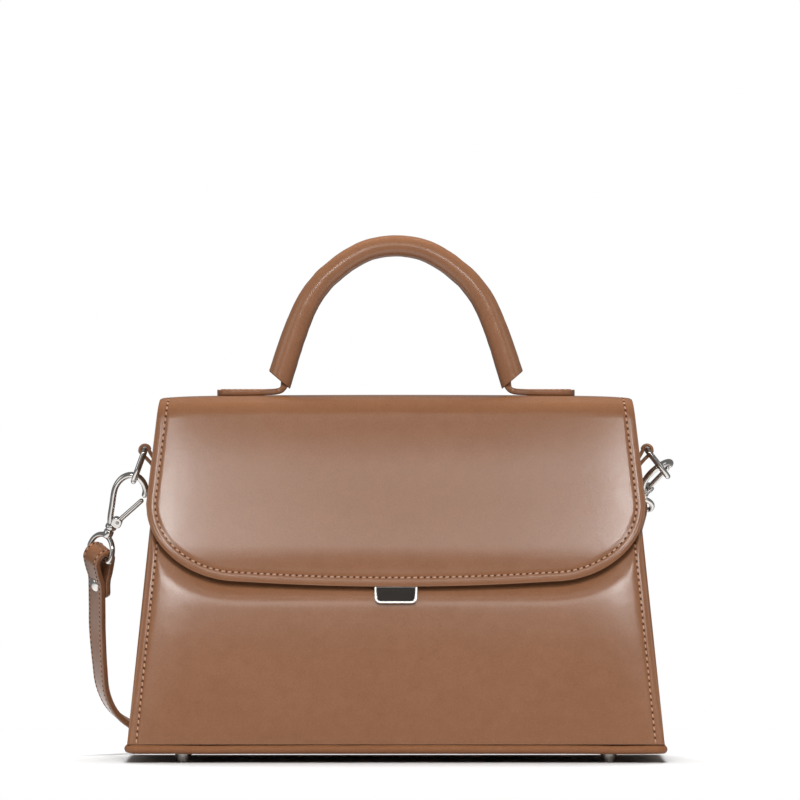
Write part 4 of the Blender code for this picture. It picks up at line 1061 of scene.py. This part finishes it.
def make_grip():
    """The padded grip, its ends cut on a slant so that the inner side reaches the neck."""
    right = [(HANDLE_HALF_SPAN * x, 0.0, BAG_HEIGHT + HANDLE_RISE * z) for x, z in HANDLE_ARCH]
    left = [(-x, y, z) for x, y, z in reversed(right[1:])]
    points = smooth_rows(left + right, 0.0022)
    ways = tangents(points)
    last = len(points) - 1
    rings = []
    for index, (point, way) in enumerate(zip(points, ways)):
        inward = (-Y_AXIS).cross(way).normalized()
        share = (BAG_HEIGHT + HANDLE_RISE - point.z) / (HANDLE_RISE - 0.0082)
        radius = GRIP_TOP_RADIUS + (GRIP_END_RADIUS - GRIP_TOP_RADIUS) * max(min(share, 1), 0)
        radius *= 1 + 0.018 * soft_noise(index * 0.16, 0.3, 2.2)
        end = min(min(index, last - index) / 7, 1)
        lead = -ways[0] if index < last / 2 else ways[-1]
        ring = []
        for turn in (2 * pi * step / 36 for step in range(36)):
            across, deep = cos(turn), sin(turn)
            out = inward * deep * radius + Y_AXIS * across * radius * 1.02
            wrinkle = 0.00012 * soft_noise(index * 0.55, across * 2.2, 7.0 + deep)
            ring.append(point + out * (1 + wrinkle / radius) - lead * deep * GRIP_SLANT * (1 - end))
        rings.append(ring)
    # The grip takes the lighter leather, painted light.
    grip = round_edges(finished(swept(rings), "padded_grip", GRIP_PAINTED_LIGHT, sharp=0.8), 0.0006)
    dressed(grip, "brown_leather", "handle", "handle_grip", "handle_core")


def make_neck(name, side):
    """The tab and the narrow neck that turns up from it into the grip."""
    base = TAB_LOW + TAB_THICKNESS / 2
    rows = smooth_rows([(x, 0, base + rise) for x, rise in NECK], 0.0009)
    points = [Vector((side * x, y, z)) for x, y, z in rows]
    rings = []
    for point, way in zip(points, tangents(points)):
        out = abs(point.x)
        from_end = TAB_OUT - out
        lying = point.z <= base + 0.001
        if from_end < TAB_CORNER and point.z < base + 0.001:
            round_in = sqrt(max(TAB_CORNER ** 2 - (TAB_CORNER - from_end) ** 2, 0))
            half = TAB_WIDTH / 2 - TAB_CORNER + round_in
        else:
            share = max(0.0, min(1.0, (NECK_START - out) / NECK_RUN)) if lying else 1.0
            ease = share * share * (3 - 2 * share)
            half = TAB_WIDTH / 2 + (NECK_HALF_WIDTH - TAB_WIDTH / 2) * ease
        rise = max(point.z - base - 0.002, 0)
        thick = TAB_THICKNESS / 2 + 0.0012 * min(rise / 0.006, 1)
        rings.append(strap_ring(point, way, Y_AXIS, band_section(2 * half, 2 * thick, 0.0009, 0.0001)))
    tab = finished(swept(rings), f"{name}_tab_leather", LEATHER, sharp=1.1)
    dressed(tab, "brown_leather", None, f"{name}_handle_tab")
    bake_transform(tab)


def tab_stitch_line(side, inset=0.0026):
    """A row round the tab, a little inside its edge."""
    half = TAB_WIDTH / 2 - inset
    corner = TAB_CORNER - inset
    out = TAB_OUT - inset
    lower = [(0.0690, -half), (out - corner, -half)]
    for step in range(1, 12):
        turn = pi / 2 * step / 12 - pi / 2
        lower.append((out - corner + corner * cos(turn), -half + corner + corner * sin(turn)))
    lower.append((out, -half + corner))
    line = lower + [(x, -y) for x, y in reversed(lower)]
    return [(Vector((side * x, y, TAB_LOW + TAB_THICKNESS + 0.00008)), Z_AXIS) for x, y in line]


make_grip()
make_neck("left", -1)
make_neck("right", 1)
ride_all(stitches("tab_stitches", [tab_stitch_line(-1), tab_stitch_line(1)], pitch=0.0030), "top_flap")


# Lock plate

LOCK_HEIGHT = 0.0852
LOCK_SIZE = (0.022, 0.0084, 0.0036)
LOCK_DEPTH = LOCK_SIZE[2]
LOCK_LIFT = 0.0023


def make_lock():
    """A polished plate with round lower corners and a recessed face coloured near black as painted shade."""
    bm = block(LOCK_SIZE, 0.0032, 10, lambda a, b: abs((a - b).z) > LOCK_DEPTH / 2 and a.y < 0)
    face = max(bm.faces, key=lambda item: item.normal.z * item.calc_area())
    bmesh.ops.inset_region(bm, faces=[face], thickness=0.0011, depth=0)
    for vert in face.verts:
        if vert.co.y > 0:
            vert.co.y += 0.0010
    bmesh.ops.inset_region(bm, faces=[face], thickness=0.00035, depth=-0.0006)
    # The recessed face takes the near-black metal, painted shade in the recess.
    face.material_index = 1
    origin = panel_point(0, LOCK_HEIGHT, -1, GAP + LOCK_DEPTH / 2 + LOCK_LIFT)
    place = matrix_of(origin, X_AXIS, UP_THE_FRONT, OUTWARD[-1])
    bmesh.ops.transform(bm, matrix=place, verts=bm.verts)
    lock = finished(bm, "polished_lock", NICKEL, NICKEL_PAINTED_SHADE, sharp=0.5)
    dressed(round_edges(lock, 0.00055, 4, 0.5), "nickel", "bag", "lock_plate")


make_lock()


# Rings, hooks and eyes

LEFT_HOOK, LEFT_HOOK_UP = (-0.148794, 0.008647, 0.120723), (0.384165, -0.269415, 0.883081)
RIGHT_HOOK, RIGHT_HOOK_UP = (0.129521, 0.030691, 0.138052), (0.261988, -0.840339, 0.474544)
# For each side: its sign, and the frames of its ring, hook, eye and folded strap end
SIDES = {
    "left": (
        -1,
        matrix_of((-RING_X, 0, RING_Z), (0.939693, 0, -0.34202), Y_AXIS, (0.34202, 0, 0.939693)),
        matrix_of(LEFT_HOOK, (0.917878, 0.00828, -0.396777), (0.099586, 0.962989, 0.250471), LEFT_HOOK_UP),
        matrix_of(LEFT_HOOK, (0.697957, 0.710865, -0.086757), (-0.604378, 0.649682, 0.46113), LEFT_HOOK_UP),
        matrix_of(
            (-0.155133, 0.013092, 0.106152), (0.604378, -0.649682, -0.46113),
            (0.796635, 0.500059, 0.339579), (0.009974, -0.572586, 0.819784),
        ),
    ),
    "right": (
        1,
        matrix_of((RING_X, 0, RING_Z), (0.788011, 0, 0.615662), Y_AXIS, (-0.615662, 0, 0.788011)),
        matrix_of(RIGHT_HOOK, (0.777712, 0.474989, 0.411764), (-0.571424, 0.261182, 0.777983), RIGHT_HOOK_UP),
        matrix_of(
            RIGHT_HOOK, (-0.001129, 0.491452, 0.870904), (-0.96507, -0.228702, 0.127806), RIGHT_HOOK_UP
        ),
        matrix_of(
            (0.125199, 0.044557, 0.130222), (0.96507, 0.228702, -0.127806),
            (-0.17391, 0.92407, 0.340368), (0.195945, -0.306253, 0.931566),
        ),
    ),
}
RING_HALF_WIDTH = 0.0085
RING_DEPTH = 0.0175
RING_CORNER = 0.002
EYE_HALF_WIDTH = 0.0089
EYE_TOP = -0.0055
EYE_BAR = -0.0165
EYE_CORNER = 0.0016
HOOK_REACH = 0.031
HOOK_WIRE_RADIUS = 0.00155
HOOK_WIRE = (
    (0.0, 0.0), (-0.065, 0.13), (-0.125, 0.36), (-0.190, 0.64), (-0.165, 0.83),
    (-0.070, 0.955), (0.060, 1.0), (0.190, 0.955), (0.290, 0.845), (0.318, 0.700),
)
HOOK_COLLAR = (
    (0, 0.0022), (0.0017, 0.0022), (0.0021, 0.0016), (0.0026, 0.0013), (0.0030, 0.0008),
    (0.0030, -0.0006), (0.0026, -0.0011), (0, -0.0011),
)
HOOK_LUG = (0.0056, 0.0044, 0.0056)
HOOK_LUG_MIDDLE = (0.0018, 0, 0.0036)
GATE_PIN = Vector((0.0022, 0, 0.0040))
GATE_PIN_SECTION = (
    (0, 0.0026), (0.0006, 0.00255), (0.0009, 0.0023), (0.0009, -0.0023), (0.0006, -0.00255), (0, -0.0026),
)
GATE_TIP = Vector((0.0097, 0, 0.0207))
GATE_RADIUS = 0.0012
EYE_KNOB = (
    (0, -0.0015), (0.0018, -0.0015), (0.0023, -0.0018), (0.0026, -0.0024), (0.0027, -0.0040),
    (0.0026, -0.0054), (0.0022, -0.0062), (0.0016, -0.0065), (0, -0.0065),
)
RING_TAB_WIDTH = 0.012
RING_TAB_THICKNESS = 0.0016
RING_TAB_LOW = RING_Z - 0.031
RING_TAB_KNEE = RING_Z - 0.010
RING_TAB_STUD = RING_Z - 0.0255
STRAP_FOLD_RADIUS = 0.0048
STRAP_TAIL_CORNER = 0.0048
# Radius and height of the strap end's rivet on its outer side, and of the small one behind
STRAP_STUDS = {-1: (0.0038, 0.0017), 1: (0.0026, 0.0006)}
STRAP_STUD_DROP = 0.018


def d_line(half, low, high, corner):
    """A D in its own YZ plane: a bar at low, round corners and an arch that ends at high."""
    up = 1 if high > low else -1
    arch = up * min(half, abs(high - low) - corner)
    points = [(0, (half - corner) * (step / 4 - 1), low) for step in range(9)]
    for turn in (pi / 2 * step / 6 for step in range(1, 7)):
        points.append((0, half - corner + corner * sin(turn), low + up * corner * (1 - cos(turn))))
    for turn in (pi * step / 36 for step in range(37)):
        points.append((0, half * cos(turn), high - arch + arch * sin(turn)))
    for turn in (pi / 2 * step / 6 for step in range(6)):
        points.append((0, -half + corner - corner * cos(turn), low + up * corner * (1 - sin(turn))))
    kept = [Vector(points[0])]
    for point in points[1:]:
        if (Vector(point) - kept[-1]).length > 0.0002:
            kept.append(Vector(point))
    return kept


def make_hook(name, place):
    """The snap hook: its wire, collar, lug and pin, and the gate that swings on the pin."""
    body = f"{name}_hook"
    points = smooth_rows([(HOOK_REACH * x, 0.0, HOOK_REACH * z) for x, z in HOOK_WIRE], 0.0008)
    scales = []
    for index, point in enumerate(points):
        to_end = length_of(points[index:]) / HOOK_WIRE_RADIUS
        nose = sqrt(max(1 - (1 - min(to_end, 1)) ** 2, 0.02))
        scales.append(nose * (1 + 0.10 * bell(point.z, 0.029, 0.006)))
    wire = tube(body, placed(points, place), HOOK_WIRE_RADIUS, scales=scales)
    dressed(wire, "nickel", body, f"{body}_frame")
    dressed(turned(f"{body}_collar", HOOK_COLLAR, NICKEL, place), "nickel", body)

    bm = block(HOOK_LUG, 0.0023, 6, lambda a, b: abs((a - b).y) > 0.001)
    bmesh.ops.translate(bm, vec=HOOK_LUG_MIDDLE, verts=bm.verts)
    bmesh.ops.transform(bm, matrix=place, verts=bm.verts)
    lug = finished(bm, f"{body}_lug", NICKEL, sharp=0.6)
    dressed(round_edges(lug, 0.0005, 3, 0.6), "nickel", body)

    pin_place = place @ Matrix.Translation(GATE_PIN) @ Matrix.Rotation(-pi / 2, 4, "X")
    pin = turned(f"{body}_pin", GATE_PIN_SECTION, STEEL, pin_place, 24)
    dressed(pin, "steel", body, f"{name}_gate_pin")

    points = [GATE_PIN.lerp(GATE_TIP, step / 24) for step in range(25)]
    scales = []
    for step in range(25):
        tip = min((24 - step) / 1.2, 1)
        scales.append(sqrt(max(1 - (1 - tip) ** 2, 0.25)) * (1.12 - 0.08 * step / 24))
    gate = tube(f"{name}_gate", placed(points, place), GATE_RADIUS, scales=scales)
    dressed(gate, "nickel", f"{name}_gate", f"{body}_gate")


def make_eye(name, place):
    line = placed(d_line(EYE_HALF_WIDTH, EYE_BAR, EYE_TOP, EYE_CORNER), place)
    eye = tube(f"{name}_eye", line, WIRE_RADIUS, closed=True)
    dressed(eye, "nickel", f"{name}_ring", f"{name}_swivel_eye")
    dressed(turned(f"{name}_knob", EYE_KNOB, NICKEL, place), "nickel", f"{name}_ring")


def dome(name, size, place, under=-0.0006):
    """A rivet's round head, size being its radius and height."""
    radius, height = size
    profile = [(0, height)]
    for turn in (pi / 2 * step / 8 for step in range(1, 9)):
        profile.append((radius * sin(turn), height * cos(turn) * 0.97))
    profile += [(radius * 0.96, -0.0001), (radius * 0.6, under), (0, under)]
    return turned(name, profile, NICKEL, place, sharp=0.8)


def make_ring_tab(name, side):
    """The strip that is folded round the D-ring's bar and riveted to the gusset."""
    inner = GAP + RING_TAB_THICKNESS / 2
    outer = inner + RING_TAB_THICKNESS + GAP
    radius = WIRE_RADIUS + inner

    def off_gusset(height, out):
        return half_width(height) - GUSSET_INSET + out, height

    leg = (RING_TAB_LOW, (RING_TAB_LOW + RING_TAB_KNEE) / 2, RING_TAB_KNEE)
    turns = [radians(195) - radians(235) * step / 8 for step in range(9)]
    rows = [off_gusset(height, inner) for height in leg]
    rows += [(RING_X + radius * cos(turn), RING_Z + radius * sin(turn)) for turn in turns]
    rows += [off_gusset(height, outer) for height in reversed(leg)]
    points = [Vector((side * x, y, z)) for x, y, z in smooth_rows([(x, 0.0, z) for x, z in rows], 0.0009)]
    widths = [Y_AXIS] * len(points)
    size = (RING_TAB_WIDTH, RING_TAB_THICKNESS, 0.0005, 0.0001)
    tab = strip(f"{name}_tab_strip", points, widths, *size)
    dressed(tab, "brown_leather", "bag", f"{name}_ring_tab")

    slope = (MOUTH_HALF_WIDTH - PANEL_HALF_WIDTH) / (MOUTH_HEIGHT - PANEL_LOW)
    normal = Vector((side, 0, -slope)).normalized()
    x, z = off_gusset(RING_TAB_STUD, outer + RING_TAB_THICKNESS / 2)
    place = matrix_of(Vector((side * x, 0, z)), Y_AXIS, normal.cross(Y_AXIS), normal)
    stud = dome(f"{name}_tab_stud", (0.0028, 0.0012), place)
    dressed(stud, "nickel", "bag", f"{name}_tab_rivet")


def strap_end_line():
    """The fold round the eye's bar in its own YZ plane, from the short tail to the long leg."""
    near = (STRAP_THICKNESS + GAP) / 2
    centre = WIRE_RADIUS + GAP + STRAP_THICKNESS / 2 - STRAP_FOLD_RADIUS
    flare = [(near, -0.021), (near, -0.0175), (near + 0.0004, -0.0140), (near + 0.0016, -0.0098)]
    turns = [pi * (step - 0.4) / 7.2 for step in range(9)]
    rows = [(near, -0.027), *flare]
    rows += [(STRAP_FOLD_RADIUS * cos(turn), centre + STRAP_FOLD_RADIUS * sin(turn)) for turn in turns]
    rows += [(-y, z) for y, z in reversed(flare)]
    rows += [(-near, -0.028), (-near, -STRAP_END_LENGTH - GAP)]
    return smooth_rows([(0.0, y, z) for y, z in rows], 0.0011)


def strap_rows(points, widths):
    """Two fine rows of stitches along a strap's outer face."""
    lines = []
    for across in (-1, 1):
        line = []
        for point, way, width in zip(points, tangents(points), widths):
            width = (width - way * width.dot(way)).normalized()
            normal = way.cross(width).normalized()
            lift = STRAP_THICKNESS / 2 + STRAP_STITCH_LIFT
            line.append((point + width * across * STRAP_STITCH_OUT + normal * lift, normal))
        lines.append(line)
    return lines


def make_strap_end(name, place):
    """The strap's end, folded round the eye's bar, sewn and riveted."""
    body = f"{name}_ring"
    points = placed(strap_end_line(), place)
    turn = place.to_3x3()
    across = turn @ X_AXIS
    outline = band_section(STRAP_WIDTH, STRAP_THICKNESS, 0.0007, 0.0002)
    full = STRAP_WIDTH / 2
    rings = []
    for index, (point, way) in enumerate(zip(points, tangents(points))):
        to_tail = length_of(points[: index + 1])
        share = 1.0
        if to_tail < STRAP_TAIL_CORNER:
            round_in = sqrt(STRAP_TAIL_CORNER ** 2 - (STRAP_TAIL_CORNER - to_tail) ** 2)
            share = (full - STRAP_TAIL_CORNER + round_in) / full
        rings.append(strap_ring(point, way, across, outline, share))
    end = finished(swept(rings), f"{name}_folded_end", LEATHER, EDGE, sharp=1.1)
    dressed(end, "brown_leather", body, f"{name}_strap_end")
    lines = strap_rows(points[3:], [across] * (len(points) - 3))
    ride_all(stitches(f"{name}_end_stitches", lines, **STRAP_STITCH), body)
    head = (STRAP_THICKNESS + GAP) / 2 + STRAP_THICKNESS / 2
    for number, (sign, size) in enumerate(STRAP_STUDS.items()):
        normal = turn @ Vector((0, sign, 0))
        origin = place @ Vector((0, sign * head, -STRAP_STUD_DROP))
        stud_place = matrix_of(origin, across, normal.cross(across), normal)
        stud = dome(f"{name}_stud_{number + 1}", size, stud_place)
        dressed(stud, "nickel", body, *([f"{name}_strap_rivet"] if sign < 0 else []))


for name, (side, ring_place, hook_place, eye_place, end_place) in SIDES.items():
    make_ring_tab(name, side)
    ring_line = placed(d_line(RING_HALF_WIDTH, 0, -RING_DEPTH, RING_CORNER), ring_place)
    ring = tube(f"{name}_ring", ring_line, WIRE_RADIUS, closed=True)
    dressed(ring, "nickel", f"{name}_ring", f"{name}_d_ring")
    make_hook(name, hook_place)
    make_eye(name, eye_place)
    make_strap_end(name, end_place)


# Strap between the folded ends

STRAP_LEAD = 0.012


def strap_line():
    """The strap's points from its left end to its right, and the way that its width lies at each."""
    def lead(name, drop):
        place = SIDES[name][-1]
        point = place @ Vector((0, -(STRAP_THICKNESS + GAP) / 2, -STRAP_END_LENGTH - drop))
        return (*point, *(place.to_3x3() @ X_AXIS))

    rows = [lead("left", GAP), lead("left", GAP + STRAP_LEAD), *STRAP_LEFT]
    rows += [(x, y, STRAP_FLOOR_HEIGHT, 0.0, 0.0, -1.0) for x, y in STRAP_FLOOR]
    rows += [*STRAP_RIGHT, lead("right", GAP + STRAP_LEAD), lead("right", GAP)]
    fine = smooth_rows(rows, 0.0030)
    points = [Vector(row[:3]) for row in fine]
    widths = []
    for row, way in zip(fine, tangents(points)):
        width = Vector(row[3:6])
        widths.append((width - way * width.dot(way)).normalized())
    return points, widths


def make_strap_half(name, points, widths, exit_point):
    half = strip(f"strap_{name}_half", points, widths, STRAP_WIDTH, STRAP_THICKNESS)
    sewn = stitches(f"{name}_strap_stitches", strap_rows(points, widths), **STRAP_STITCH)
    for piece in (dressed(half, "brown_leather"), *sewn):
        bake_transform(piece)
    length_of(points)
    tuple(exit_point)
    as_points(points)
    return half


STRAP_POINTS, STRAP_WIDTHS = strap_line()
MIDDLE = len(STRAP_POINTS) // 2
left_half = make_strap_half(
    "left", STRAP_POINTS[: MIDDLE + 1], STRAP_WIDTHS[: MIDDLE + 1], STRAP_POINTS[0],
)
make_strap_half(
    "right", STRAP_POINTS[MIDDLE:], STRAP_WIDTHS[MIDDLE:], STRAP_POINTS[-1],
)
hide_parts("strap")


# Hidden CAD pieces keep their shape in a detailed material

for node, material in {
    "base_board": BOARD, "top_board": BOARD, "inner_pocket": LINING, "flap_striker": STEEL,
    "lock_magnet": STEEL, "lock_backplate": STEEL, "left_tab_plate": STEEL, "right_tab_plate": STEEL,
}.items():
    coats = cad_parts[node].data.materials
    coats.clear()
    coats.append(material)


# Studio

WORLD_LIGHT = 0.20
WORLD_REFLECTED = 0.20
WORLD_SEEN = 1.0
FLOOR_TONE = (0.66, 0.66, 0.66, 1)
# The floor fades out within this reach along X and Y
FLOOR_REACH = (0.55, 0.42)
# Name, place, aim, width and height, power, and whether reflections show it
LIGHTS = (
    ("back_light", (0, 0.60, 1.75), (0, 0, 0.05), (1.2, 0.8), 46, False),
    ("top_light", (0, -1.7, 1.45), (0, 0, 0.10), (0.8, 0.4), 40, False),
    ("front_box", (0, -1.3, 0.622), (0, 0, 0.12), (1.0, 0.18), 1.75, True),
    ("left_strip", (-0.32, -1.25, 0.638), (-0.10, 0, 0.12), (0.22, 0.16), 1.8, True),
    ("right_strip", (0.33, -1.25, 0.638), (0.10, 0, 0.12), (0.22, 0.16), 1.75, True),
    ("left_fill", (-1.9, -0.9, 0.7), (0, 0, 0.10), (1.0, 1.2), 4, True),
    ("right_fill", (1.9, -0.9, 0.7), (0, 0, 0.10), (1.0, 1.2), 3, True),
)


def make_world():
    """A world that the camera sees white, and that lights the bag only a little."""
    world = bpy.data.worlds.new("studio")
    world.use_nodes = True
    bpy.context.scene.world = world
    tree = world.node_tree
    tree.nodes.clear()
    ray = new_node(tree, "LightPath")

    def background(strength):
        return new_node(tree, "Background", {}, {"Color": (1, 1, 1, 1), "Strength": strength}).outputs[0]

    def chosen(kind, first, second):
        return new_node(tree, "MixShader", {}, {0: ray.outputs[kind], 1: first, 2: second}).outputs[0]

    unseen = chosen("Is Glossy Ray", background(WORLD_LIGHT), background(WORLD_REFLECTED))
    new_node(tree, "OutputWorld", {}, {"Surface": chosen("Is Camera Ray", unseen, background(WORLD_SEEN))})


def make_floor():
    """A pale floor that fades into the white round the bag."""
    bm = bmesh.new()
    bmesh.ops.create_grid(bm, x_segments=1, y_segments=1, size=3)
    made = Finish("pale_floor")
    made.finish(FLOOR_TONE, 0.9, {"Specular IOR Level": 0.1})
    scale = (1 / FLOOR_REACH[0], 1 / FLOOR_REACH[1], 1)
    near = new_node(made.tree, "Mapping", {}, {"Vector": made.place, "Scale": scale}).outputs["Vector"]
    ball = made.texture("TexGradient", "Fac", {"gradient_type": "SPHERICAL"}, {"Vector": near})
    clear = new_node(made.tree, "BsdfTransparent").outputs[0]
    values = {0: (ball * 2.2).limited(), 1: clear, 2: made.shader.outputs[0]}
    mixed = new_node(made.tree, "MixShader", {}, values)
    fill(made.tree, made.tree.nodes["Material Output"], {"Surface": mixed.outputs[0]})
    finished(bm, "floor", made.material)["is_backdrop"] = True


def make_light(name, place, aim, size, energy, reflected):
    light = bpy.data.lights.new(name, "AREA")
    light.shape = "RECTANGLE"
    light.size, light.size_y = size
    light.energy = energy
    holder = shown(name, light)
    holder.location = place
    holder.rotation_euler = (Vector(aim) - Vector(place)).to_track_quat("-Z", "Y").to_euler()
    holder.visible_glossy = reflected
    holder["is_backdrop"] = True


make_world()
make_floor()
for row in LIGHTS:
    make_light(*row)


# Size of the CAD model and of the dressed one

BOXES = {"cad": CAD_BOX, "visual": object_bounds()}
{name: [list(corner) for corner in box] for name, box in BOXES.items()}
